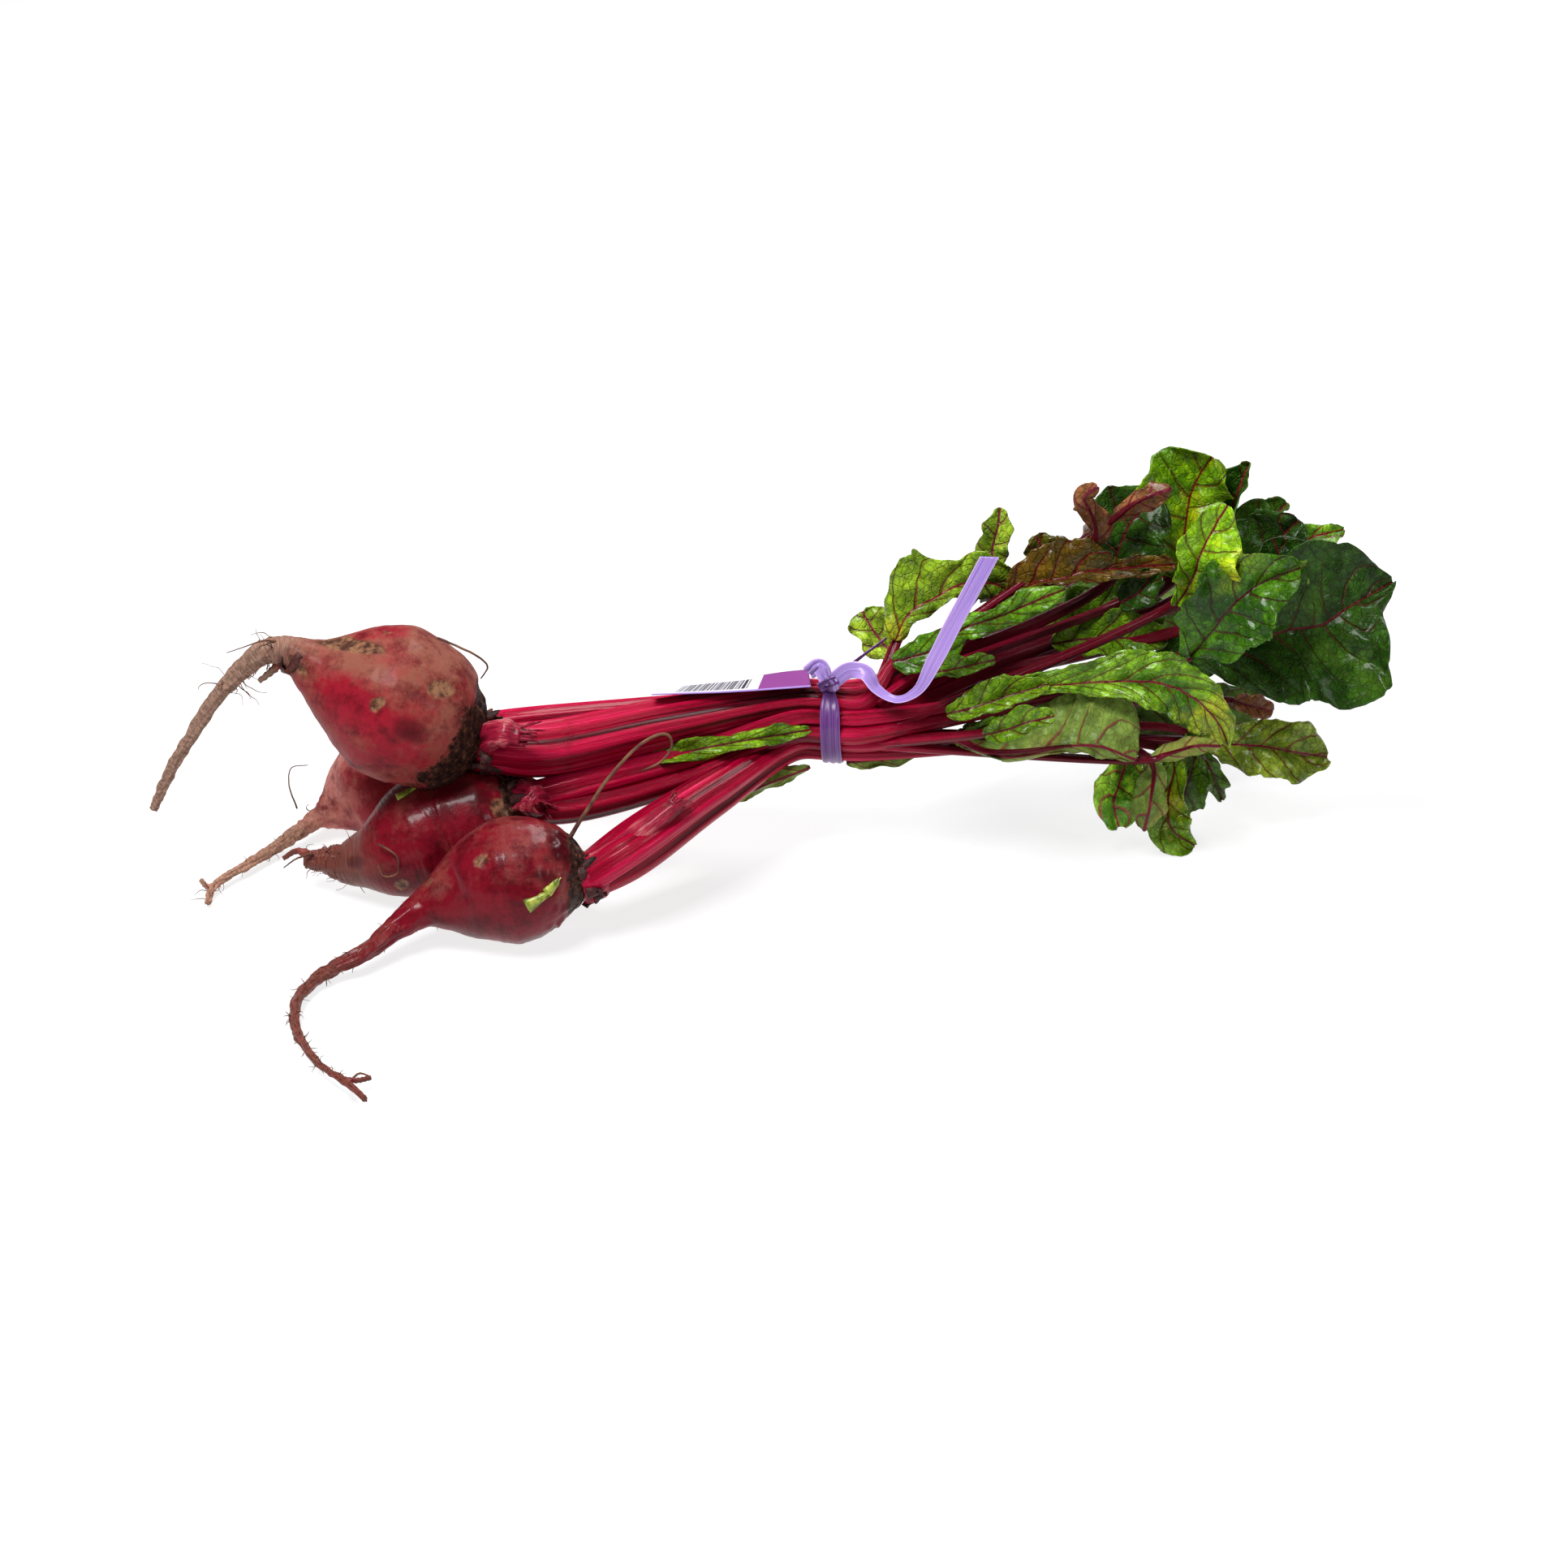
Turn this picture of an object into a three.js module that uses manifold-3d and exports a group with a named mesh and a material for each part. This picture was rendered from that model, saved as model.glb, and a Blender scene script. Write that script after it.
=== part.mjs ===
import * as THREE from 'three';
import Module from 'manifold-3d';

const wasm = await Module();
wasm.setup();

// Driving dimensions, millimetres and degrees
const LIFT = 28;
const DISTANCE = 1610;
const AIM = 60;
const ORIGIN = [-2.724, 19.782, 0.8];
const FLOOR = 0.8;
const GAP = 0.3;
const BLADE = 1.1;
const TIE_CENTRE = [16.8, 62, 55];
const TAIL_WIDTH = 6.4;
const STALK_FOOT = 5.3;
const STALK_TIE = 3.05;
const RIB_FOOT = 1.7;
const RIB_TIP = 0.7;
const BAND_INNER = 16.3;
const BAND_WIDTH = 7.5;
const RIBBON = 0.8;

const COLOURS = {
  rust: '#7d4a2a',
  root: '#6d1f2c', top: '#7a3a34', stalk: '#a3123f', leaf: '#3d7a25', dark: '#24562a',
  lime: '#7fa83a', pale: '#8ba377', dry: '#a86a52', tie: '#7b5fc0', label: '#e8e4ee',
};

// Points are [right, up, depth]: right and up on a plane tilted back by LIFT, depth along +Y
const sine = Math.sin(THREE.MathUtils.degToRad(LIFT));
const cosine = Math.cos(THREE.MathUtils.degToRad(LIFT));
const EYE = new THREE.Vector3(0, -DISTANCE * cosine, AIM + DISTANCE * sine);
const FRONT = new THREE.Vector3(0, -cosine, sine);

function seen(right, up, depth) {
  const on = new THREE.Vector3(right, up * sine, AIM + up * cosine);
  const share = (depth - EYE.y) / (on.y - EYE.y);
  return EYE.clone().lerp(on, share);
}

// Roots: centre line from crown to tip as [right, up, depth, radius]
const ROOTS = {
  top: [[-112, 14, 31, 8], [-117, 16, 31, 17], [-124, 19, 31, 23.5], [-134, 25, 31, 28.2],
    [-146, 31, 31, 29.3], [-157, 36, 31, 24.5], [-166, 40, 31, 17.5], [-173, 43.5, 31, 11.5],
    [-180, 47.5, 31, 7.2], [-186, 49.6, 31, 5.4], [-193, 48.2, 30, 4.5], [-201, 41.7, 29, 3.5],
    [-209.4, 32.4, 28.5, 2.9], [-216.6, 21.6, 28, 2.6], [-223.5, 10.8, 27, 2.3], [-229, 0, 27, 2],
    [-233, -9.3, 26, 1.6]],
  back: [[-132, 9, 77, 9], [-142, 3, 76, 19], [-150, -1, 73.8, 21], [-160, -6, 73, 15.5],
    [-167, -10, 70, 8], [-172, -12.5, 66, 4.2], [-178, -16.5, 60, 3.1], [-188, -23.6, 50, 2.3],
    [-198.6, -30, 37, 1.8], [-211, -38, 21, 1.4], [-213, -44, 11, 1]],
  middle: [[-96, -7, 30, 9], [-108, -11, 29, 20.5], [-125, -17, 28.6, 25], [-137, -22, 23.8, 22.5],
    [-147, -26, 21, 16.5], [-155, -28, 22, 11], [-162, -29, 24, 8], [-170, -28.3, 25, 5],
    [-177, -28, 26, 3.2]],
  front: [[-74, -34, -6, 9], [-83, -34, -7, 18.3], [-92, -34.6, -8, 22.8], [-101, -35.8, -8.5, 24],
    [-110, -38, -10, 21.5], [-119, -41, -12, 17], [-127, -43.8, -15, 11], [-134.4, -46.8, -18, 6.6],
    [-145.2, -54.6, -26, 4.2], [-155.7, -62.7, -37, 3.2], [-166.5, -68.1, -43, 2.7],
    [-174.6, -73.5, -51, 2.3], [-180, -80.1, -64, 2], [-180.9, -88.2, -80, 1.7],
    [-177.9, -95.7, -95, 1.5], [-171.9, -103.5, -110, 1.3], [-163.8, -108.9, -121, 1.2],
    [-155, -116.4, -137, 1.1]],
};

// Side rootlets fused to their root, same point layout
const ROOTLETS = {
  top: [[[-184, 48.5, 31, 3], [-188, 43, 29, 1.6], [-194, 38, 28, 1]]],
  back: [[[-209, -37, 24, 1.4], [-213, -38, 21, 1.1], [-215.5, -35.5, 24, 0.9]]],
  middle: [[[-173, -27.5, 25.5, 2.6], [-180, -24.8, 28, 1.2], [-185, -27.5, 28, 0.9]]],
  front: [[[-163, -109.2, -121, 1.1], [-158, -109.6, -121, 1], [-153, -108.6, -117, 0.9]]],
};

// Crown of each root as [right, up, depth], its outward lean, how far its stalks fan out, their rise
// half-way to the tie and the tie slots they use
const CROWNS = {
  top: { at: [-109, 13.5, 31], lean: [0.95, 0.05, -0.3], fan: 1.6, rise: 0.5, slots: [[0, 10.5],
    [6.3, 10.5], [-6.3, 10.5], [3.15, 5.25], [-3.15, 5.25]] },
  middle: { at: [-94, -7, 30], lean: [0.96, 0.1, 0], fan: 1.9, rise: -2.5, slots: [[-9.45, 5.25],
    [-6.3, 0], [-12.6, 0], [0, 0]] },
  front: { at: [-72, -34, -6], lean: [0.9, 0.2, 0.5], fan: 2.3, rise: 1.5, slots: [[-9.45, -5.25],
    [-3.15, -5.25], [-6.3, -10.5], [0, -10.5]] },
  back: { at: [-130, 10, 77], lean: [0.92, -0.1, 0.4], fan: 1.3, rise: 0, slots: [[9.45, 5.25],
    [6.3, 0], [12.6, 0], [3.15, -5.25], [9.45, -5.25], [6.3, -10.5]] },
};

// Broken stalks at the crowns, same point layout as the roots
const STUBS = {
  top: [[-111, 15, 28, 5.5], [-104, 18.5, 17, 5], [-97, 17.6, 15, 4]],
  middle: [[-97, -6, 28, 7], [-93, -6.5, 21, 6], [-90, -8, 18, 4.6]],
  front: [[-72, -33, -8, 5], [-56, -21, -3, 4.2], [-40, -8, 4, 3.6]],
};

// Leaves, nearest first: rib points [right, up, depth, turn], widths to the left and right, fold and curl of each half.
// A branch leaf's stalk leaves the one in its slot past the tie; a loose one is only held among the stalks.
const LEAVES = {
  pale_front: { root: 'front', slot: 0, colour: 'pale', left: [1, 2, 1.5, 3, 4.5, 2],
    right: [2.5, 10, 18.5, 21.5, 30, 10], fold: [16, 8], curl: [30, 30], wave: 3,
    rib: [[61, 17, 50, 176], [70, 14, 46, 176], [82, 10, 42, 176], [105, 14, 39, 178],
    [116, 14, 38, 180], [130, 9, 42, 184]] },
  pale_roll: { root: 'front', slot: 0, branch: true, colour: 'pale', left: [1.5, 3, 3.5, 2],
    right: [2.5, 4, 4, 2], fold: [20, 20], curl: [30, 30], wave: 1.2, rib: [[136, 9, 46, 176],
    [142, 11, 45, 176], [152, 14, 46, 178], [161, 14, 50, 180]] },
  lime_torn: { root: 'front', slot: 0, branch: true, colour: 'lime', left: [2.5, 5.5, 6.5, 2.5],
    right: [2.5, 5, 3.5, 2], fold: [20, 10], curl: [20, 20], wave: 1.2, rib: [[74, 18, 34, 10],
    [82, 20, 31, 0], [91, 23, 30, 0], [100, 25, 31, 0]] },
  droop_pale: { root: 'front', slot: 1, branch: true, colour: 'pale', left: [1, 4, 6, 7, 3],
    right: [1, 4, 6, 6.5, 3], fold: [14, 12], curl: [20, 24], wave: 1.6, rib: [[131, 12, 52, 176],
    [136, 7, 50, 176], [136, -1, 46, 178], [135, -9, 44, 180], [133, -17, 47, 182]] },
  droop_left: { root: 'front', slot: 1, colour: 'leaf', left: [1, 5, 9.5, 12.5, 4],
    right: [1, 6, 11.5, 9.5, 3], fold: [14, 25], curl: [25, 40], wave: 2.4, rib: [[121, 13, 68, -10],
    [126, 8, 66, -10], [124, 0, 60, -12], [122, -7, 56, -10], [124, -16, 55, -4]] },
  droop_tip: { root: 'front', slot: 2, colour: 'lime', left: [1, 4, 6.5, 8, 2],
    right: [1, 5, 8, 10, 2.5], fold: [12, 10], curl: [20, 20], wave: 2.2, rib: [[138, 14, 66, 0],
    [144, 8, 63, 0], [142, -6, 57, 0], [143, -16, 54, 0], [152, -23, 58, 4]] },
  long_front: { root: 'middle', slot: 0, colour: 'leaf', left: [2, 4, 6.5, 11, 11.5, 11, 7, 2],
    right: [2, 3, 4, 7, 12, 11, 7, 2], fold: [12, 10], curl: [20, 24], wave: 2.2,
    rib: [[75, 31, 52, -16], [89, 35, 50, -14], [106, 37, 50, -10], [126, 38, 50, -6],
    [140, 37, 50, 0], [151, 32, 51, 10], [160, 23, 54, 24], [164, 15, 58, 36]] },
  right_big: { root: 'middle', slot: 1, colour: 'dark', left: [2.5, 9, 18, 26.5, 25, 4],
    right: [2.5, 11, 17.5, 23.5, 28, 31, 33.5, 32.5, 27.5, 9, 2.5], fold: [34, 6], curl: [24, 12],
    wave: 3.2, rib: [[151, 47, 76, 0], [166, 51, 72, 2], [187, 57, 68, 2], [199, 59, 68, -4],
    [208, 65, 70, -10], [225, 75, 82, -20]] },
  front_wide: { root: 'middle', slot: 2, colour: 'leaf', left: [4, 15, 17.5, 12.5, 2.5],
    right: [3, 13, 17, 14, 3], fold: [12, 10], curl: [26, 30], wave: 2.8, rib: [[150, 47, 56, 8],
    [158, 56, 52, 8], [166, 66, 50, 4], [176, 74, 52, -2], [191, 80, 60, -10]] },
  blistered: { root: 'middle', slot: 2, branch: true, colour: 'lime', left: [2, 6.5, 8.5, 8.5, 3],
    right: [4, 12.5, 15.5, 12, 3.5], fold: [14, 12], curl: [20, 25], wave: 2.6,
    rib: [[145, 66, 66, -4], [151, 76, 60, -6], [154, 85, 58, -4], [158, 93, 60, 0],
    [164, 103, 64, 10]] },
  ribbon_side: { root: 'top', slot: 2, colour: 'leaf', left: [2.5, 6.5, 3.5, 4, 5.5, 1.5],
    right: [3.5, 8, 4.5, 4.5, 5, 1.5], fold: [-24, 8], curl: [-26, 26], wave: 1.6,
    rib: [[40, 45, 62, 14], [54, 49, 61, 20], [66, 57, 61, 24], [80, 62, 64, 24], [92, 67, 68, 18],
    [104, 72, 73, 10]] },
  gloss_lime: { root: 'middle', slot: 3, colour: 'lime', left: [3.5, 9.5, 9.5, 3.5],
    right: [3, 8, 8, 2.5], fold: [18, 12], curl: [30, 20], wave: 1.8, rib: [[99, 52, 82, -12],
    [114, 54, 82, -12], [129, 54, 83, -12], [142, 53, 86, -12]] },
  mid_right: { root: 'back', slot: 0, colour: 'dark', left: [3.5, 9.5, 11.5, 5],
    right: [4, 11.5, 14, 5], fold: [16, 18], curl: [34, 30], wave: 2.6, rib: [[169, 63, 84, -4],
    [178, 73, 80, -4], [183, 82, 79, 0], [181, 91, 82, 6]] },
  inner_lime: { root: 'front', slot: 3, branch: true, colour: 'lime', left: [2, 5.5, 8.5, 8, 3],
    right: [2, 6, 9, 8, 3], fold: [14, 12], curl: [20, 20], wave: 2, rib: [[149, 19, 81, -8],
    [152, 13, 80, -8], [151, 6, 78, -8], [148, -4, 77, -4], [146, -11, 79, 0]] },
  right_tag: { root: 'front', slot: 3, branch: true, colour: 'leaf', left: [2, 4, 4, 1.5],
    right: [2, 4, 4, 1.5], fold: [14, 12], curl: [20, 20], wave: 1.4, rib: [[154, 12, 72, -8],
    [158, 5, 70, -8], [160, -1, 70, -4], [162, -6, 72, 0]] },
  autumn: { root: 'middle', slot: 3, branch: true, colour: 'dry', left: [2.5, 4.5, 4.5, 2],
    right: [2.5, 4.5, 4.5, 2], fold: [14, 12], curl: [20, 20], wave: 1, rib: [[166, 31, 100, -8],
    [172, 29, 102, -8], [176, 28, 103, -6], [181, 27, 105, 0]] },
  right_upper: { root: 'back', slot: 1, branch: true, colour: 'dark', left: [6, 15.5, 15.5, 5],
    right: [6, 14.5, 14.5, 5], fold: [14, 12], curl: [24, 20], wave: 2.4, rib: [[160, 72, 104, -8],
    [173, 81, 106, -8], [183, 90, 108, -6], [190, 98, 111, 0]] },
  behind_mid: { root: 'back', slot: 2, branch: true, colour: 'lime', left: [5, 13, 13, 5],
    right: [4, 12, 12, 4], fold: [12, 10], curl: [20, 20], wave: 2, rib: [[98, 54, 112, -10],
    [112, 60, 114, -8], [127, 63, 116, -6], [141, 64, 118, 0]] },
  small_round: { root: 'top', slot: 0, branch: true, colour: 'dark', left: [3, 6.5, 6.5, 3],
    right: [3, 6.5, 6.5, 3], fold: [14, 14], curl: [24, 24], wave: 1.2, rib: [[124, 67, 84, -6],
    [130, 70, 83, -4], [134, 74, 84, 0], [136, 79, 87, 4]] },
  red_rib: { root: 'top', slot: 0, colour: 'rust', left: [1, 9, 13, 9.5, 4, 3, 1],
    right: [1, 3, 3.5, 6, 6.5, 5, 1.5], fold: [26, 8], curl: [34, 20], wave: 2,
    rib: [[83, 69, 86, -30], [94, 75, 84, -30], [102, 76, 84, -30], [113, 79, 85, -28],
    [126, 80, 87, -28], [137, 81, 89, -28], [145, 81, 91, -28]] },
  left_round: { root: 'top', slot: 4, colour: 'leaf', left: [2.5, 12, 18.5, 10, 11, 3],
    right: [2, 5.5, 4.5, 4, 8.5, 3], fold: [12, -16], curl: [22, 20], wave: 2.2,
    rib: [[41, 53, 76, -20], [46, 63, 80, -14], [56, 69, 84, -6], [66, 74, 88, 0], [77, 74, 92, 8],
    [86, 70, 95, 20]] },
  curled_tip: { root: 'top', slot: 0, branch: true, colour: 'dry', left: [3.5, 5.5, 4.5, 4, 1.5],
    right: [3.5, 5.5, 4.5, 4, 1.5], fold: [26, 26], curl: [40, 40], wave: 1.2,
    rib: [[113, 87, 94, 170], [115, 94, 92, 170], [113, 101, 88, 180], [111, 106, 85, 186],
    [116, 110, 84, 194]] },
  flap: { root: 'top', slot: 1, branch: true, colour: 'dry', left: [2.5, 4.5, 5.5, 2.5],
    right: [2.5, 4, 5, 2.5], fold: [20, 20], curl: [30, 30], wave: 1.2, rib: [[122, 98, 99, 176],
    [130, 104, 97, 178], [137, 107, 97, 180], [143, 109, 99, 184]] },
  small_lobe: { root: 'top', slot: 2, branch: true, colour: 'rust', left: [3.5, 7, 7, 3],
    right: [3.5, 7, 7, 3], fold: [12, 12], curl: [20, 20], wave: 1.4, rib: [[98, 76, 104, -6],
    [97, 83, 106, -6], [95, 88, 107, 0], [93, 92, 109, 6]] },
  top_left: { root: 'top', slot: 1, colour: 'dark', left: [6, 14, 15, 6], right: [7, 17, 18, 8],
    fold: [10, 14], curl: [20, 25], wave: 2.6, rib: [[121, 76, 102, -25], [124, 88, 107, -14],
    [129, 98, 110, -8], [139, 106, 113, 0]] },
  top_leaf: { root: 'top', slot: 3, colour: 'lime', left: [9, 17.5, 20.5, 9], right: [7, 13, 15, 7],
    fold: [10, 8], curl: [24, -10], wave: 3, rib: [[146, 76, 112, -12], [148, 93, 117, -10],
    [151, 109, 121, -6], [158, 121, 123, 0]] },
  upright: { root: 'top', slot: 4, branch: true, colour: 'lime', left: [5.5, 7, 6, 2],
    right: [5, 6.5, 6, 2], fold: [10, 12], curl: [20, 20], wave: 1.2, rib: [[77, 79, 106, -10],
    [77, 87, 108, -6], [79, 95, 109, 0], [80, 102, 110, 10]] },
  far_left: { root: 'back', slot: 0, branch: true, colour: 'lime', left: [3, 9, 9, 3.5],
    right: [3, 9.5, 10, 3.5], fold: [14, 14], curl: [20, 20], wave: 1.8, rib: [[41, 47, 96, 0],
    [35, 54, 101, 0], [31, 60, 105, 0], [29, 64, 108, 0]] },
  low_right: { root: 'front', slot: 3, colour: 'leaf', left: [3.5, 8.5, 10, 11.5, 5.5],
    right: [3, 9.5, 13, 13, 4], fold: [10, 12], curl: [16, 18], wave: 2.6, rib: [[154, 17, 84, -14],
    [164, 15, 82, -12], [177, 14, 80, -10], [188, 12, 80, -6], [201, 10, 83, 0]] },
  finger_one: { root: 'back', slot: 1, colour: 'dark', left: [5, 8, 6, 1.5], right: [5, 7, 5.5, 1.5],
    fold: [40, 42], curl: [40, 40], wave: 1.2, rib: [[160, 89, 124, -30], [166, 104, 127, -30],
    [169, 112, 129, -26], [172, 119, 131, -20]] },
  finger_two: { root: 'back', slot: 3, colour: 'dark', left: [6, 8.5, 6, 2], right: [6, 8, 5.5, 2],
    fold: [36, 38], curl: [40, 40], wave: 1.2, rib: [[172, 85, 128, -30], [176, 95, 131, -28],
    [182, 100, 133, -26], [186, 104, 135, -20]] },
  back_right: { root: 'back', slot: 2, colour: 'leaf', left: [5, 7, 5, 1], right: [7, 11.5, 9.5, 2],
    fold: [14, 12], curl: [20, 20], wave: 2, rib: [[178, 80, 138, -20], [188, 88, 142, -24],
    [197, 92, 144, -26], [207, 94, 147, -30]] },
  back_wide: { root: 'back', slot: 4, colour: 'leaf', left: [10, 22, 22, 8], right: [9, 20.5, 20.5, 7],
    fold: [12, 14], curl: [24, 20], wave: 3, rib: [[130, 60, 140, 150], [152, 66, 150, 152],
    [172, 72, 156, 156], [192, 78, 158, 160]] },
  back_low: { root: 'back', slot: 5, colour: 'dark', left: [6, 14, 14, 5.5], right: [6.5, 15, 15, 5.5],
    fold: [12, 10], curl: [20, 24], wave: 2.6, rib: [[109, 33, 116, 152], [131, 29, 122, 154],
    [154, 28, 126, 156], [176, 31, 130, 156]] },
  back_left: { root: 'back', slot: 5, branch: true, colour: 'leaf', left: [5.5, 13, 13, 5],
    right: [5.5, 12, 12, 5], fold: [14, 10], curl: [22, 20], wave: 2.2, rib: [[76, 52, 118, 140],
    [90, 62, 130, 144], [104, 72, 138, 148], [118, 80, 142, 152]] },
  strip: { root: 'middle', slot: 0, loose: true, colour: 'lime', left: [2, 3.5, 3.5, 3.5, 1.5],
    right: [2.5, 4, 4, 3.5, 1.5], fold: [20, 20], curl: [20, 20], wave: 2, rib: [[-59, 8, 42, -10],
    [-41, 11, 40, -14], [-20, 15, 43, -10], [-2, 18, 47, -6], [10, 20, 50, 0]] },
  under_left: { root: 'front', slot: 2, loose: true, colour: 'pale', left: [2, 4, 4, 1.5],
    right: [2, 3.5, 3.5, 1.5], fold: [14, 14], curl: [20, 20], wave: 1, rib: [[11, 4, 52, 150],
    [-2, -1, 48, 150], [-14, -6, 44, 150], [-26, -11, 41, 150]] },
  under_right: { root: 'front', slot: 2, loose: true, colour: 'pale', left: [2, 3.5, 3.5, 1],
    right: [2, 3.5, 3.5, 1], fold: [14, 14], curl: [20, 20], wave: 1, rib: [[23, 8, 56, 170],
    [34, 9, 57, 170], [46, 12, 58, 170], [59, 16, 60, 170]] },
};

// Smooth run through listed values; the same share of the list always meets the same entry
function run(values) {
  const curve = new THREE.CatmullRomCurve3(values, false, 'centripetal');
  return (share) => curve.getPoint(THREE.MathUtils.clamp(share, 0, 1));
}

function solid(points, faces) {
  const flat = new Float32Array(points.length * 3);
  points.forEach((point, i) => flat.set([point.x, point.y, point.z], i * 3));
  const mesh = new wasm.Mesh({ numProp: 3, vertProperties: flat, triVerts: new Uint32Array(faces) });
  const body = new wasm.Manifold(mesh);
  return body.volume() < 0 ? body.mirror([1, 0, 0]).mirror([1, 0, 0]) : body;
}

// Round body along a centre line, capped at both ends
function tube(centres, radii, rings, sides, extra = 0, ridge = 0) {
  const place = run(centres);
  const size = run(radii.map((radius) => new THREE.Vector3(radius, 0, 0)));
  const points = [];
  const faces = [];
  let side = null;
  for (let i = 0; i <= rings; i += 1) {
    const share = i / rings;
    const step = 0.5 / rings;
    const along = place(share + step).sub(place(share - step)).normalize();
    side = side || new THREE.Vector3(0, 0, 1);
    side.addScaledVector(along, -side.dot(along)).normalize();
    const across = along.clone().cross(side);
    const radius = Math.max(size(share).x, 0.6) + extra;
    const middle = place(share);
    if (i === 0) middle.addScaledVector(along, -extra);
    if (i === rings) middle.addScaledVector(along, extra);
    for (let j = 0; j < sides; j += 1) {
      const turn = (2 * Math.PI * j) / sides;
      const wide = radius * (1 + ridge * Math.cos(3 * turn + 0.7));
      const point = middle.clone().addScaledVector(side, wide * Math.cos(turn));
      points.push(point.addScaledVector(across, wide * Math.sin(turn)));
    }
  }
  const last = rings * sides;
  for (let i = 0; i < rings; i += 1) {
    for (let j = 0; j < sides; j += 1) {
      const next = (j + 1) % sides;
      const a = i * sides + j;
      const b = i * sides + next;
      faces.push(a, b, b + sides, a, b + sides, a + sides);
    }
  }
  for (let j = 1; j < sides - 1; j += 1) {
    faces.push(0, j + 1, j);
    faces.push(last, last + j, last + j + 1);
  }
  return solid(points, faces);
}

// Thin body from a grid of middle points, with the same diagonals on both faces
function sheet(grid, thick) {
  const rows = grid.length;
  const columns = grid[0].length;
  const points = [];
  const faces = [];
  for (const face of [0.5, -0.5]) {
    for (let i = 0; i < rows; i += 1) {
      for (let j = 0; j < columns; j += 1) {
        const along = grid[Math.min(i + 1, rows - 1)][j].clone().sub(grid[Math.max(i - 1, 0)][j]);
        const across = grid[i][Math.min(j + 1, columns - 1)].clone().sub(grid[i][Math.max(j - 1, 0)]);
        const normal = across.cross(along).normalize();
        points.push(grid[i][j].clone().addScaledVector(normal, face * thick));
      }
    }
  }
  const under = rows * columns;
  for (let i = 0; i < rows - 1; i += 1) {
    for (let j = 0; j < columns - 1; j += 1) {
      const a = i * columns + j;
      const b = a + 1;
      const c = a + columns;
      const d = c + 1;
      faces.push(a, b, d, a, d, c);
      faces.push(under + a, under + d, under + b, under + a, under + c, under + d);
    }
  }
  const rim = [];
  for (let j = 0; j < columns; j += 1) rim.push(j);
  for (let i = 1; i < rows; i += 1) rim.push(i * columns + columns - 1);
  for (let j = columns - 2; j >= 0; j -= 1) rim.push((rows - 1) * columns + j);
  for (let i = rows - 2; i > 0; i -= 1) rim.push(i * columns);
  rim.forEach((a, i) => {
    const b = rim[(i + 1) % rim.length];
    faces.push(a, under + a, under + b, a, under + b, b);
  });
  return solid(points, faces);
}

// Frame on a rib: along, across to the right half and out of the upper face
function ribFrame(leaf, share) {
  const place = run(leaf.rib.map((p) => seen(p[0], p[1], p[2])));
  const turns = run(leaf.rib.map((p) => new THREE.Vector3(p[3], 0, 0)));
  const along = place(share + 0.02).sub(place(share - 0.02)).normalize();
  const side = along.clone().cross(FRONT).normalize();
  const up = side.clone().cross(along).normalize();
  const turn = THREE.MathUtils.degToRad(turns(share).x);
  const normal = up.clone().multiplyScalar(Math.cos(turn)).addScaledVector(side, Math.sin(turn));
  const across = side.multiplyScalar(Math.cos(turn)).addScaledVector(up, -Math.sin(turn));
  return { middle: place(share), along, across, normal };
}

function ribLength(leaf) {
  const curve = new THREE.CatmullRomCurve3(leaf.rib.map((p) => seen(p[0], p[1], p[2])), false, 'centripetal');
  return curve.getLength();
}

// Leaf blade with two arched halves, lobed margin and waves growing towards the edge
function blade(leaf, order, extra = 0) {
  const sides = [leaf.left, leaf.right].map((list) => run(list.map((wide) => new THREE.Vector3(wide, 0, 0))));
  const widest = Math.max(...leaf.left, ...leaf.right);
  const steps = THREE.MathUtils.clamp(Math.round(ribLength(leaf) / 8), 5, 11);
  const halves = widest > 14 ? 3 : 2;
  const grid = [];
  for (let i = 0; i <= steps; i += 1) {
    const share = i / steps;
    const frame = ribFrame(leaf, share);
    const row = [];
    for (let j = -halves; j <= halves; j += 1) {
      const half = j < 0 ? 0 : 1;
      const q = Math.abs(j) / halves;
      const lobe = 1 + 0.09 * Math.sin(17 * share + order * 2 + half * 1.4);
      const reach = Math.max(sides[half](share).x, 1) * lobe + extra;
      const bend = THREE.MathUtils.degToRad(leaf.fold[half] + leaf.curl[half] * q * 0.5);
      const wave = leaf.wave * q * q * (reach / widest) ** 0.5 * Math.sin(15 * share + order * 1.7 + half * 2.2);
      const out = reach * q * Math.sign(j);
      const rise = 0.8 * reach * q * Math.tan(bend) + wave;
      const point = frame.middle.clone().addScaledVector(frame.across, out);
      row.push(point.addScaledVector(frame.normal, rise));
    }
    if (i === 0) row.forEach((point) => point.addScaledVector(frame.along, -extra));
    if (i === steps) row.forEach((point) => point.addScaledVector(frame.along, extra));
    grid.push(row);
  }
  return sheet(grid, BLADE + 2 * extra);
}

// Point under a blade where its rib runs
function underRib(leaf, share, radius) {
  const frame = ribFrame(leaf, share);
  const steepest = Math.max(0, -Math.min(leaf.fold[0], leaf.fold[1]));
  const drop = (radius + GAP + 0.25) / Math.cos(THREE.MathUtils.degToRad(steepest)) + BLADE / 2;
  return frame.middle.addScaledVector(frame.normal, -drop);
}

function tiePoint(slot, past, spread) {
  const [x, y, z] = TIE_CENTRE;
  return new THREE.Vector3(x + past, y + slot[0] * spread, z + slot[1] * spread);
}

// Way the stalks leave a crown: its own lean, drawn towards the tie
function crownLean(crown) {
  const lean = new THREE.Vector3(...crown.lean).normalize();
  const pull = new THREE.Vector3(...TIE_CENTRE).sub(seen(...crown.at)).normalize();
  return lean.addScaledVector(pull, 1.6).normalize();
}

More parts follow.
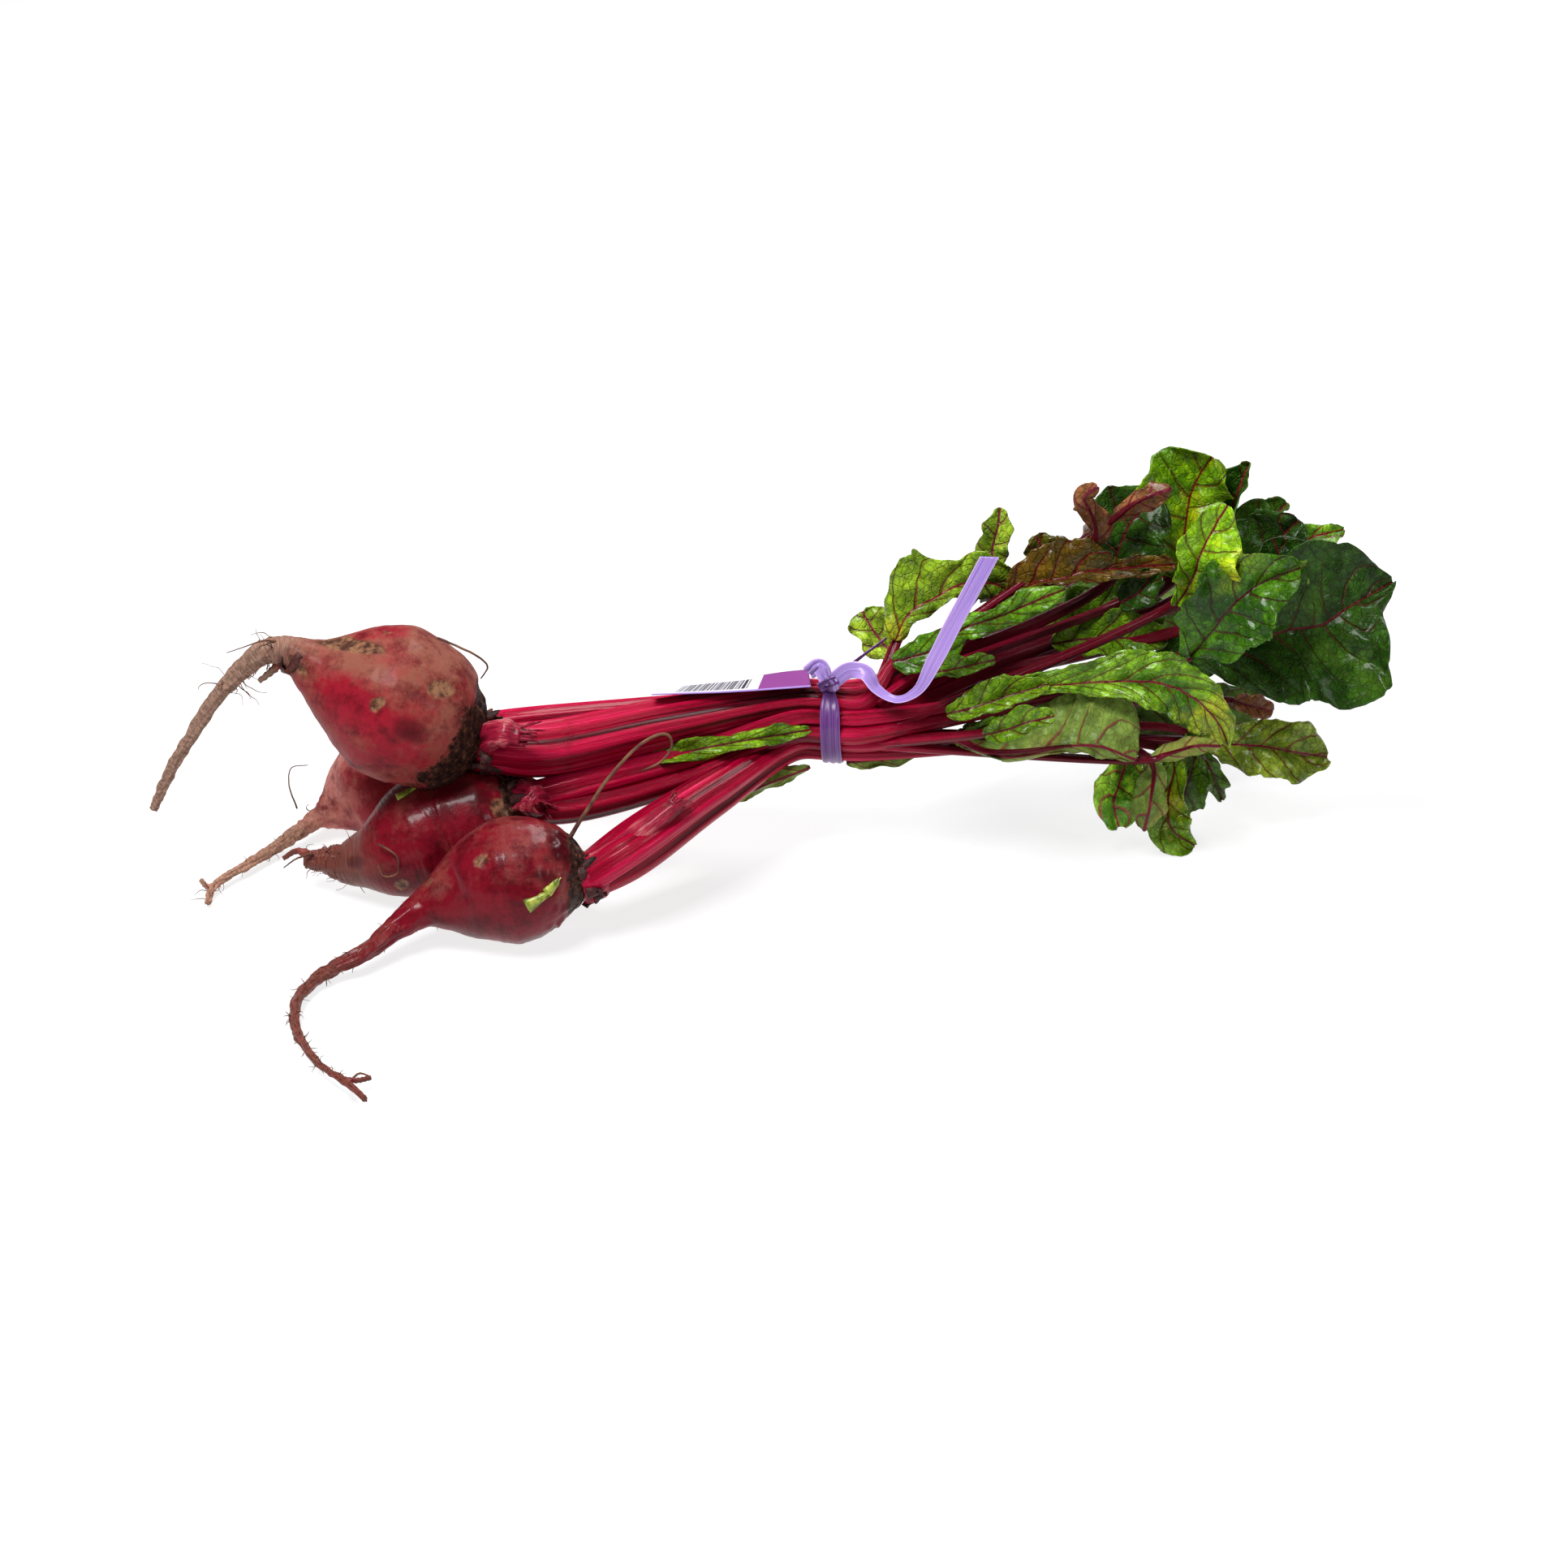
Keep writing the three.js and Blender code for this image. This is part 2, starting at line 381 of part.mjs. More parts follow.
// Stalk from the crown through its tie slot to the rib of its leaf
function stalk(leaf, extra = 0) {
  const crown = CROWNS[leaf.root];
  const slot = crown.slots[leaf.slot];
  const centres = [];
  const radii = [];
  if (leaf.branch) {
    const first = leaf.slot === 0 ? 16 : 18;
    centres.push(tiePoint(slot, first, 1.04));
    radii.push(2.2);
  } else {
    const foot = seen(...crown.at);
    const lean = crownLean(crown);
    const spread = new THREE.Vector3(0, slot[0], slot[1]);
    const middle = crown.slots.reduce((sum, s) => sum.add(new THREE.Vector3(0, s[0], s[1])), new THREE.Vector3());
    spread.sub(middle.divideScalar(crown.slots.length)).multiplyScalar(0.75);
    const near = foot.clone().addScaledVector(lean, 20).addScaledVector(spread, crown.fan);
    const half = near.clone().lerp(tiePoint(slot, -12, 1), 0.5).addScaledVector(spread, 0.15);
    half.z += crown.rise;
    centres.push(foot.clone().addScaledVector(lean, -4).add(spread.clone().multiplyScalar(0.9)), near, half);
    centres.push(tiePoint(slot, -12, 1), tiePoint(slot, 0, 1), tiePoint(slot, 14, 1.02));
    radii.push(STALK_FOOT, STALK_FOOT, STALK_FOOT * 0.84, STALK_TIE + 0.1, STALK_TIE, STALK_TIE);
  }
  const small = leaf.branch ? 0.8 : 1;
  centres.push(underRib(leaf, 0.02, RIB_FOOT * small + 0.5), underRib(leaf, 0.3, RIB_FOOT * small));
  centres.push(underRib(leaf, 0.62, RIB_TIP));
  radii.push(RIB_FOOT * small + 0.4, RIB_FOOT * small - 0.2, RIB_TIP);
  return tube(centres, radii, leaf.branch ? 5 : 9, 5, extra);
}

// Short neck that joins the stalks of one root
function collar(name, extra = 0) {
  const crown = CROWNS[name];
  const lean = crownLean(crown);
  const foot = seen(...crown.at);
  const centres = [-6, 0, 6].map((along) => foot.clone().addScaledVector(lean, along));
  return tube(centres, [8, 9, 7.5], 3, 10, extra);
}

function stalks(name, extra = 0) {
  const parts = Object.values(LEAVES).filter((leaf) => leaf.root === name && !leaf.loose).map((leaf) => stalk(leaf, extra));
  const stubs = Object.entries(STUBS).filter(([root]) => root === name).map(([, line]) => {
    return tube(line.map((p) => seen(p[0], p[1], p[2])), line.map((p) => p[3]), 4, 7, extra);
  });
  return wasm.Manifold.union([collar(name, extra), ...parts, ...stubs]);
}

function rootBody(name, extra = 0) {
  const line = ROOTS[name];
  const centres = line.map((p) => seen(p[0], p[1], p[2]));
  const main = tube(centres, line.map((p) => p[3]), name === 'front' ? 22 : 18, 13, extra);
  const extras = ROOTLETS[name].map((thin) => {
    return tube(thin.map((p) => seen(p[0], p[1], p[2])), thin.map((p) => p[3]), 4, 5, extra);
  });
  return wasm.Manifold.union([main, ...extras]);
}

// Flat strip along a run of points with a turn at each
function strip(path, width, extra = 0) {
  const leaf = { rib: path };
  const steps = (path.length - 1) * 2;
  const grid = [];
  for (let i = 0; i <= steps; i += 1) {
    const frame = ribFrame(leaf, i / steps);
    const half = width / 2 + extra;
    if (i === 0) frame.middle.addScaledVector(frame.along, -extra);
    if (i === steps) frame.middle.addScaledVector(frame.along, extra);
    grid.push([-1, 1].map((side) => frame.middle.clone().addScaledVector(frame.across, side * half)));
  }
  return sheet(grid, RIBBON + 2 * extra);
}

const BROAD_TAIL = [[16, 36, 57, 20], [24, 42, 55, 10], [30, 41, 52, -20], [34, 35, 49, -52], [41, 31, 46, -66],
  [49, 34, 43, -58], [56, 46, 43, -24], [62, 58, 45, -6], [69, 71, 48, 0], [76, 84, 51, 0]];
const NARROW_TAIL = [[16, 37, 60, 60], [27, 46, 64, 62], [38, 54, 68, 60]];
const LABEL = { near: [[-49, 33, 50], [-20, 34, 51], [10, 36, 53]], far: [[-46, 34, 66], [-16, 38, 67], [8, 42, 69]] };

// Ribbon tie: band round the stalks, knot on top and two tails
function tie(extra = 0) {
  const [x, y, z] = TIE_CENTRE;
  const width = BAND_WIDTH + 2 * extra;
  const outer = wasm.Manifold.cylinder(width, BAND_INNER + RIBBON + extra, -1, 24, true);
  const inner = wasm.Manifold.cylinder(width + 2, BAND_INNER - extra, -1, 24, true);
  const band = outer.subtract(inner).rotate([0, 90, 0]).translate([x, y, z]);
  const knot = wasm.Manifold.sphere(3.4 + extra, 10).scale([1.1, 1.2, 0.8]).translate([x, y - 4, z + 18]);
  const cut = wasm.Manifold.cylinder(30, BAND_INNER - extra, -1, 24, true).rotate([0, 90, 0]);
  const tails = [strip(BROAD_TAIL, TAIL_WIDTH, extra), strip(NARROW_TAIL, 3.4, extra)];
  const loose = wasm.Manifold.union([knot, ...tails]).subtract(cut.translate([x, y, z]));
  return wasm.Manifold.union([band, loose]);
}

function label(extra = 0) {
  const near = run(LABEL.near.map((p) => seen(...p)));
  const far = run(LABEL.far.map((p) => seen(...p)));
  const grid = [];
  for (let i = 0; i <= 6; i += 1) {
    grid.push([0, 1].map((share) => near(i / 6).lerp(far(i / 6), share)));
  }
  return sheet(grid, RIBBON + 2 * extra);
}

// Keeps each new body clear of those already placed, and one piece
const placed = [];
const bodies = [];

function apart(one, other) {
  const a = one.boundingBox();
  const b = other.boundingBox();
  return [0, 1, 2].some((i) => a.max[i] < b.min[i] || b.max[i] < a.min[i]);
}

function largest(body) {
  return body.decompose().sort((p, q) => q.volume() - p.volume())[0];
}

function place(body, fat, tolerance = 0.05) {
  let kept = body;
  for (const other of [...placed, ...bodies]) {
    if (!apart(kept, other)) kept = kept.subtract(other);
  }
  let whole = largest(kept.simplify(tolerance));
  const meets = (other) => !apart(whole, other) && whole.intersect(other).volume() > 0.004;
  if (bodies.some(meets)) whole = largest(largest(kept).simplify(0.01));
  placed.push(fat);
  bodies.push(whole);
  return whole;
}

const ground = wasm.Manifold.cube([900, 900, 100], true).translate([0, 0, FLOOR - 50]);
const group = new THREE.Group();
group.name = 'beetroot';

function add(name, body, colour) {
  const mesh = body.translate([-ORIGIN[0], -ORIGIN[1], -ORIGIN[2]]).getMesh();
  const geometry = new THREE.BufferGeometry();
  geometry.setAttribute('position', new THREE.BufferAttribute(new Float32Array(mesh.vertProperties), 3));
  geometry.setIndex(new THREE.BufferAttribute(new Uint32Array(mesh.triVerts), 1));
  geometry.computeVertexNormals();
  const node = new THREE.Mesh(geometry, new THREE.MeshStandardMaterial({ color: COLOURS[colour] }));
  node.name = name;
  group.add(node);
}

for (const name of Object.keys(ROOTS)) {
  const body = place(rootBody(name).subtract(ground), rootBody(name, GAP));
  add(`root_${name}`, body, name === 'top' ? 'top' : 'root');
}
const tieBody = tie();
placed.push(tie(GAP));
bodies.push(tieBody);
for (const name of Object.keys(CROWNS)) {
  add(`stalks_${name}`, place(stalks(name).subtract(ground), stalks(name, GAP), 0.16), 'stalk');
}
add('tie', tieBody, 'tie');
add('label', place(label(), label(GAP)), 'label');
Object.entries(LEAVES).forEach(([name, leaf], order) => {
  const body = place(blade(leaf, order).subtract(ground), blade(leaf, order, GAP));
  add(`leaf_${name}`, body, leaf.colour);
});

export default group;
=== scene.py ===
import math
import random
from functools import partial

import bpy
import numpy as np
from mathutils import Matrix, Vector, noise


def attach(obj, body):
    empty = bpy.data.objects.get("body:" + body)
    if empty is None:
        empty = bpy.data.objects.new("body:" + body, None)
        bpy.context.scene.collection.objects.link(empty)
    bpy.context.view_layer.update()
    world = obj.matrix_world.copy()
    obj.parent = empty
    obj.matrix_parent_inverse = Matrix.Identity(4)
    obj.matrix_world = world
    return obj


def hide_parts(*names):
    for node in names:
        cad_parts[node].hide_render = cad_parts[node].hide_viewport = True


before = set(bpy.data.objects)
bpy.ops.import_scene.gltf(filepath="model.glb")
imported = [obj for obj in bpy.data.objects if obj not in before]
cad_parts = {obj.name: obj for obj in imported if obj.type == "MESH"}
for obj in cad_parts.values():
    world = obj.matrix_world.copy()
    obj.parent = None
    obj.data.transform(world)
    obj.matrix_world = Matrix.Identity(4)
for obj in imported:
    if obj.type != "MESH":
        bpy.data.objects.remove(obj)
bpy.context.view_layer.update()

# Camera and the place of the bunch, in millimetres and degrees
view = {"lift": 28, "distance": 1610, "aim": 60, "origin": (-2.724, 19.782, 0.8), "lens": 100,
    "sensor": 36, "far": 20}
lift = math.radians(view["lift"])
origin = np.array(view["origin"])
eye = np.array([0, -view["distance"] * math.cos(lift), view["aim"] + view["distance"] * math.sin(lift)])
towardsEye = np.array([0, -math.cos(lift), math.sin(lift)])
upright = np.array([0, 0, 1.0])
fullTurn = 2 * math.pi


# Point behind a place on the tilted plane: right and up on the plane, depth along +Y
def seen(right, up, depth):
    on = np.array([right, up * math.sin(lift), view["aim"] + up * math.cos(lift)])
    return eye + (on - eye) * (depth - eye[1]) / (on[1] - eye[1])


# Places of listed points, and their fourth values: radii, or turns of a sheet
def lineOf(points):
    return [seen(*p[:3]) for p in points], [p[3] for p in points]


# Smooth run through listed values, read at shares of the list
def runThrough(values):
    points = np.array(values, dtype=float)
    if points.ndim == 1:
        points = points[:, None]
    padded = np.vstack([2 * points[0] - points[1], points, 2 * points[-1] - points[-2]])

    def at(share):
        share = np.clip(np.atleast_1d(share), 0, 1) * (len(points) - 1)
        i = np.minimum(share.astype(int), len(points) - 2)
        w = (share - i)[:, None]
        a, b, c, d = padded[i], padded[i + 1], padded[i + 2], padded[i + 3]
        ab, bc, cd = [np.sqrt(np.linalg.norm(q - p, axis=1))[:, None] for p, q in ((a, b), (b, c), (c, d))]
        bc = np.where(bc < 1e-4, 1, bc)
        ab = np.where(ab < 1e-4, bc, ab)
        cd = np.where(cd < 1e-4, bc, cd)
        leave = ((b - a) / ab - (c - a) / (ab + bc) + (c - b) / bc) * bc
        arrive = ((c - b) / bc - (d - b) / (bc + cd) + (d - c) / cd) * bc
        return b + leave * w + (3 * (c - b) - 2 * leave - arrive) * w ** 2 + (2 * (b - c) + leave + arrive) * w ** 3
    return at


def unit(rows):
    return rows / np.linalg.norm(rows, axis=-1, keepdims=True)


def noisy(x, y, z):
    return noise.noise(Vector((x, y, z)))


def wandering(spots, seed):
    return np.array([noisy(a, b, seed) for a, b in spots])


def deselectAll():
    for thing in list(bpy.context.selected_objects):
        thing.select_set(False)


def selectOnly(*pieces):
    deselectAll()
    for piece in pieces:
        piece.select_set(True)
    bpy.context.view_layer.objects.active = pieces[0]


def spotsOf(piece):
    mesh = piece.data
    places, normals = np.empty(len(mesh.vertices) * 3), np.empty(len(mesh.vertices) * 3)
    mesh.vertices.foreach_get("co", places)
    mesh.vertices.foreach_get("normal", normals)
    return places.reshape(-1, 3) * 1000 + origin, normals.reshape(-1, 3)


def movedTo(piece, places):
    piece.data.vertices.foreach_set("co", ((places - origin) / 1000).ravel())
    piece.data.update()


# Numbers and colours kept on the points of a piece
def storeValues(piece, name, values):
    layer = piece.data.attributes.new(name=name, type="FLOAT", domain="POINT")
    layer.data.foreach_set("value", np.array(np.broadcast_to(values, len(piece.data.vertices))))


def storeColours(piece, name, colours):
    layer = piece.data.color_attributes.new(name=name, type="FLOAT_COLOR", domain="POINT")
    layer.data.foreach_set("color", np.array(np.broadcast_to(colours, (len(piece.data.vertices), 4))).ravel())


# Grid primitive with every vertex put in place; across and along run from 0 to 1
def shapedGrid(name, across, along, puts):
    deselectAll()
    bpy.ops.mesh.primitive_grid_add(x_subdivisions=across, y_subdivisions=along, size=1, calc_uvs=True)
    piece = bpy.context.object
    piece.name = piece.data.name = name
    flat = np.empty(len(piece.data.vertices) * 3)
    piece.data.vertices.foreach_get("co", flat)
    column, row = [np.rint((flat[i::3] + 0.5) * count).astype(int) for i, count in enumerate((across, along))]
    movedTo(piece, puts(column / across, row / along, row))
    return piece


def inEditMode(piece, work):
    selectOnly(piece)
    bpy.ops.object.mode_set(mode="EDIT")
    bpy.ops.mesh.select_all(action="SELECT")
    work()
    bpy.ops.object.mode_set(mode="OBJECT")


# Round piece along a centre line: a grid rolled up, its seam merged and its ends filled
def rolledTube(name, centres, radii, rings, sides, shape=None, least=0.3):
    place, size = runThrough(centres), runThrough(radii)
    share = np.linspace(0, 1, rings + 1)
    middles = place(share)
    ahead = unit(place(share + 0.5 / rings) - place(share - 0.5 / rings))
    sideways = []
    side = upright
    for step in ahead:
        side = side - step * (side @ step)
        side = side / np.linalg.norm(side)
        sideways.append(side)
    sideways = np.array(sideways)
    across = np.cross(ahead, sideways)
    width = np.maximum(size(share)[:, 0], least)
    held = {}

    def puts(u, v, row):
        turn = fullTurn * u
        reach = width[row]
        if shape:
            ridges = shape(turn, v)
            reach = reach * ridges
            held["ridge"] = np.clip(0.5 + 2.5 * (ridges - 1), 0, 1)
        out = np.cos(turn)[:, None] * sideways[row] + np.sin(turn)[:, None] * across[row]
        return middles[row] + reach[:, None] * out

    piece = shapedGrid(name, sides, rings, puts)
    if held:
        storeValues(piece, "ridge", held["ridge"])

    def close():
        bpy.ops.mesh.remove_doubles(threshold=1e-6)
        bpy.ops.mesh.fill_holes(sides=0)
        bpy.ops.mesh.normals_make_consistent(inside=False)
    inEditMode(piece, close)
    return piece


# Sheet given its thickness in millimetres; a second material goes on its back
def thickened(piece, thick):
    selectOnly(piece)
    modifier = piece.modifiers.new("thickness", "SOLIDIFY")
    modifier.thickness = thick / 1000
    modifier.offset = 0
    modifier.material_offset = 1 if len(piece.data.materials) > 1 else 0
    bpy.ops.object.modifier_apply(modifier=modifier.name)
    return piece


def joined(name, pieces):
    selectOnly(*pieces)
    bpy.ops.object.join()
    whole = bpy.context.object
    whole.name = whole.data.name = name
    return whole


def finished(piece, slotName, *nodes):
    selectOnly(piece)
    bpy.ops.object.transform_apply(location=True, rotation=True, scale=True)
    bpy.ops.object.shade_smooth()
    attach(piece, "root")
    if nodes:
        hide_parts(*nodes)


# Material helpers: each returns a socket, and finds its tree through the sockets it is given
def newMaterial(name, rough, coat, coatRough, spec):
    material = bpy.data.materials.new(name)
    material.use_nodes = True
    shader = material.node_tree.nodes["Principled BSDF"]
    shader.inputs["Roughness"].default_value = rough
    shader.inputs["Coat Weight"].default_value = coat
    shader.inputs["Coat Roughness"].default_value = coatRough
    shader.inputs["Specular IOR Level"].default_value = spec
    return material, material.node_tree, shader


def node(tree, kind, **values):
    made = tree.nodes.new(kind)
    for key, value in values.items():
        if key in made.inputs.keys():
            made.inputs[key].default_value = value
        else:
            setattr(made, key, value)
    return made


def feed(socket, value):
    if isinstance(value, bpy.types.NodeSocket):
        socket.id_data.links.new(value, socket)
    elif isinstance(value, tuple):
        socket.default_value = (*value, 1)
    else:
        socket.default_value = value


def treeOf(values):
    return next(value.id_data for value in values if isinstance(value, bpy.types.NodeSocket))


def stretched(source, stretch):
    mapping = node(source.id_data, "ShaderNodeMapping", Scale=stretch)
    feed(mapping.inputs["Vector"], source)
    return mapping.outputs["Vector"]


def objectSpot(tree, stretch=(1, 1, 1)):
    return stretched(node(tree, "ShaderNodeTexCoord").outputs["Object"], stretch)


def uvSpot(tree, stretch=(1, 1, 1), layer="UVMap"):
    return stretched(node(tree, "ShaderNodeUVMap", uv_map=layer).outputs["UV"], stretch)


def split(vector):
    cut = node(vector.id_data, "ShaderNodeSeparateXYZ")
    feed(cut.inputs["Vector"], vector)
    return cut.outputs


def speckle(vector, scale, detail=4.0, rough=0.55):
    cloud = node(vector.id_data, "ShaderNodeTexNoise", Scale=scale, Detail=detail, Roughness=rough)
    feed(cloud.inputs["Vector"], vector)
    return cloud.outputs["Fac"]


def ramp(value, *stops):
    shades = node(value.id_data, "ShaderNodeValToRGB")
    while len(shades.color_ramp.elements) < len(stops):
        shades.color_ramp.elements.new(0.5)
    for element, (position, colour) in zip(shades.color_ramp.elements, stops):
        element.position = position
        element.color = (*colour, 1) if isinstance(colour, tuple) else (colour, colour, colour, 1)
    feed(shades.inputs["Fac"], value)
    return shades.outputs["Color"]


def blend(share, first, second, kind="MIX"):
    values = (share, first, second)
    mixer = node(treeOf(values), "ShaderNodeMix", data_type="RGBA", blend_type=kind)
    for index, value in zip((0, 6, 7), values):
        feed(mixer.inputs[index], value)
    return mixer.outputs[2]


def sums(kind, *values):
    made = node(treeOf(values), "ShaderNodeMath", operation=kind)
    for socket, value in zip(made.inputs, values):
        feed(socket, value)
    return made.outputs[0]


plus, minus, times = partial(sums, "ADD"), partial(sums, "SUBTRACT"), partial(sums, "MULTIPLY")
scaled, absolute = partial(sums, "MULTIPLY_ADD"), partial(sums, "ABSOLUTE")
above, below = partial(sums, "GREATER_THAN"), partial(sums, "LESS_THAN")


def dimmed(colour, share):
    return tuple(c * share for c in colour)


def relief(shader, height, strength, distance):
    bump = node(shader.id_data, "ShaderNodeBump", Strength=strength, Distance=distance)
    feed(bump.inputs["Height"], height)
    feed(shader.inputs["Normal"], bump.outputs["Normal"])


# Roots: centre line from crown to tip as right, up, depth, radius
rootPlan = {
    "top": [[-112, 14, 31, 8], [-117, 16, 31, 17], [-124, 19, 31, 23.5], [-134, 25, 31, 28.2],
        [-146, 31, 31, 29.3], [-157, 36, 31, 24.5], [-166, 40, 31, 17.5], [-173, 43.5, 31, 11.5],
        [-180, 47.5, 31, 7.2], [-186, 49.6, 31, 5.4], [-193, 48.2, 30, 4.5], [-201, 41.7, 29, 3.5],
        [-209.4, 32.4, 28.5, 2.9], [-216.6, 21.6, 28, 2.6], [-223.5, 10.8, 27, 2.3], [-229, 0, 27, 2],
        [-233, -9.3, 26, 1.6]],
    "back": [[-132, 9, 77, 9], [-142, 3, 76, 19], [-150, -1, 73.8, 21], [-160, -6, 73, 15.5],
        [-167, -10, 70, 8], [-172, -12.5, 66, 4.2], [-178, -16.5, 60, 3.1], [-188, -23.6, 50, 2.3],
        [-198.6, -30, 37, 1.8], [-211, -38, 21, 1.4], [-213, -44, 11, 1]],
    "middle": [[-96, -7, 30, 9], [-108, -11, 29, 20.5], [-125, -17, 28.6, 25], [-137, -22, 23.8, 22.5],
        [-147, -26, 21, 16.5], [-155, -28, 22, 11], [-162, -29, 24, 8], [-170, -28.3, 25, 5],
        [-177, -28, 26, 3.2]],
    "front": [[-74, -34, -6, 9], [-83, -34, -7, 18.3], [-92, -34.6, -8, 22.8], [-101, -35.8, -8.5, 24],
        [-110, -38, -10, 21.5], [-119, -41, -12, 17], [-127, -43.8, -15, 11], [-134.4, -46.8, -18, 6.6],
        [-145.2, -54.6, -26, 4.2], [-155.7, -62.7, -37, 3.2], [-166.5, -68.1, -43, 2.7],
        [-174.6, -73.5, -51, 2.3], [-180, -80.1, -64, 2], [-180.9, -88.2, -80, 1.7],
        [-177.9, -95.7, -95, 1.5], [-171.9, -103.5, -110, 1.3], [-163.8, -108.9, -121, 1.2],
        [-155, -116.4, -137, 1.1]],
}

# Side rootlets and loose wiry threads, same layout
rootletPlan = {
    "top": [[[-184, 48.5, 31, 3], [-188, 43, 29, 1.6], [-194, 38, 28, 1]],
        [[-128, 54, 20, 0.5], [-121, 51, 19, 0.45], [-113, 47, 19, 0.4], [-109.6, 43.5, 20, 0.35],
        [-112, 39, 22, 0.25]],
        [[-184, 52, 30, 0.6], [-192, 53, 27, 0.3], [-200, 50.5, 24, 0.2], [-206, 48.5, 22, 0.15]]],
    "back": [[[-209, -37, 24, 1.4], [-213, -38, 21, 1.1], [-215.5, -35.5, 24, 0.9]],
        [[-180, -9, 60, 0.35], [-183, 0, 58, 0.25], [-182, 6, 58, 0.2], [-176, 7, 60, 0.15]]],
    "middle": [[[-173, -27.5, 25.5, 2.6], [-180, -24.8, 28, 1.2], [-185, -27.5, 28, 0.9]],
        [[-174, -26, 23, 0.5], [-180, -27.5, 20, 0.35], [-185, -31, 18, 0.2]],
        [[-150, -22, 6, 0.4], [-143, -27, 3, 0.35], [-143, -33, 2, 0.3], [-148, -34, 3, 0.25],
        [-150, -30, 4, 0.2]]],
    "front": [[[-163, -109.2, -121, 1.1], [-158, -109.6, -121, 1], [-153, -108.6, -117, 0.9]],
        [[-161, -111, -123, 0.6], [-157, -107, -117, 0.4], [-153, -108, -117, 0.25]],
        [[-79.8, -20.7, -5, 0.9], [-73.2, -10.2, 0, 0.75], [-66.3, 0.3, 6, 0.7], [-57.3, 10.8, 12, 0.65],
         [-49.8, 16.8, 17, 0.6], [-43.2, 18.3, 20, 0.55], [-41.4, 14.4, 20, 0.5], [-45.3, 8.4, 18, 0.42],
         [-52.8, 4.8, 15, 0.3]]],
}

# Marks on the skins, seen from the front: kind, right, up, half length, half width, tilt, strength
markPlan = {
    "top": [("scar", -160, 51.6, 13.5, 2.4, -9, 1), ("tan", -127, 35, 5, 3.2, -12, 0.9),
        ("tan", -150.5, 29.6, 3.6, 2.4, 40, 0.8), ("tan", -147, 56, 3, 1.4, 10, 0.5),
        ("clean", -159, 29, 11, 9, -40, 1), ("clean", -144, 15, 13, 9, -30, 0.7),
        ("deep", -138, 20, 8, 5, -20, 0.8), ("clean", -150, 57, 12, 3, 5, 0.7),
        ("scar", -180, 44, 5, 1.6, -50, 0.8)],
    "back": [("clean", -147, -4, 12, 14, 0, 1)],
    "middle": [("tan", -103.6, -9.4, 5, 3.8, -30, 1), ("tan", -141.5, -37.5, 2.8, 2, 0, 0.8),
        # The long dark mark at the middle root's top, along the edge of the top root that lies on it, is painted
        # shade
        ("deep", -120, -2, 16, 5, -20, 0.6), ("deep", -158, -29, 4, 3, 0, 0.7)],
    "front": [("tan", -112, -28.6, 3.6, 2.8, 20, 0.7), ("scar", -111, -28.2, 1.2, 1, 0, 0.8),
        ("deep", -82, -23, 6, 8, 20, 0.9), ("deep", -91, -33.6, 6, 1.6, 8, 0.7), ("clean", -108, -48, 22, 7, 0, 1),
        ("tan", -132, -36, 3, 1.6, 30, 0.5)],
}

rootLook = {"rings": 230, "sides": 96, "quickRings": 100, "quickSides": 48, "lump": 0.032, "ring": 0.14,
    "tailRing": 0.28, "knob": 0.75, "scaly": 0.11, "floor": 0.8, "clearance": 0.1, "seed": 7,
    "soil": {"top": 0.13, "back": 0.08, "middle": 0.055, "front": 0.042},
    "dust": {"top": 0.68, "back": 0.78, "middle": 0.16, "front": 0.28},
    "sunk": {"scar": 0.9, "tan": 0.25}, "scales": 20, "scaleSize": ((3, 7.5), (3, 6.5)),
    "hairs": {"top": (34, 0.56, 0.74), "back": (18, 0.5, 0.98), "middle": (34, 0.6, 0.99), "front": (70, 0.36, 0.96)},
    "hairLength": {"top": (3, 12), "back": (2, 6), "middle": (2, 7), "front": (1.2, 3.6)},
    "hairRadius": 0.17, "hairTaper": (1.4, 1, 1, 0.8, 0.6, 0.5), "hairSteps": 5, "hairMesh": (10, 4),
    "threadTint": (0.1, 0, 0.6, 0), "threadMesh": (40, 10), "scrapLift": 0.9}
flapLook = {"across": 5, "along": 7, "thick": 0.5}


# Where a point shows on the tilted plane, right and up
def drawn(points):
    share = (math.sin(lift) * view["aim"] - towardsEye @ eye) / ((points - eye) @ towardsEye)
    on = eye + (points - eye) * share[:, None]
    return on[:, 0], (on[:, 2] - view["aim"]) / math.cos(lift)


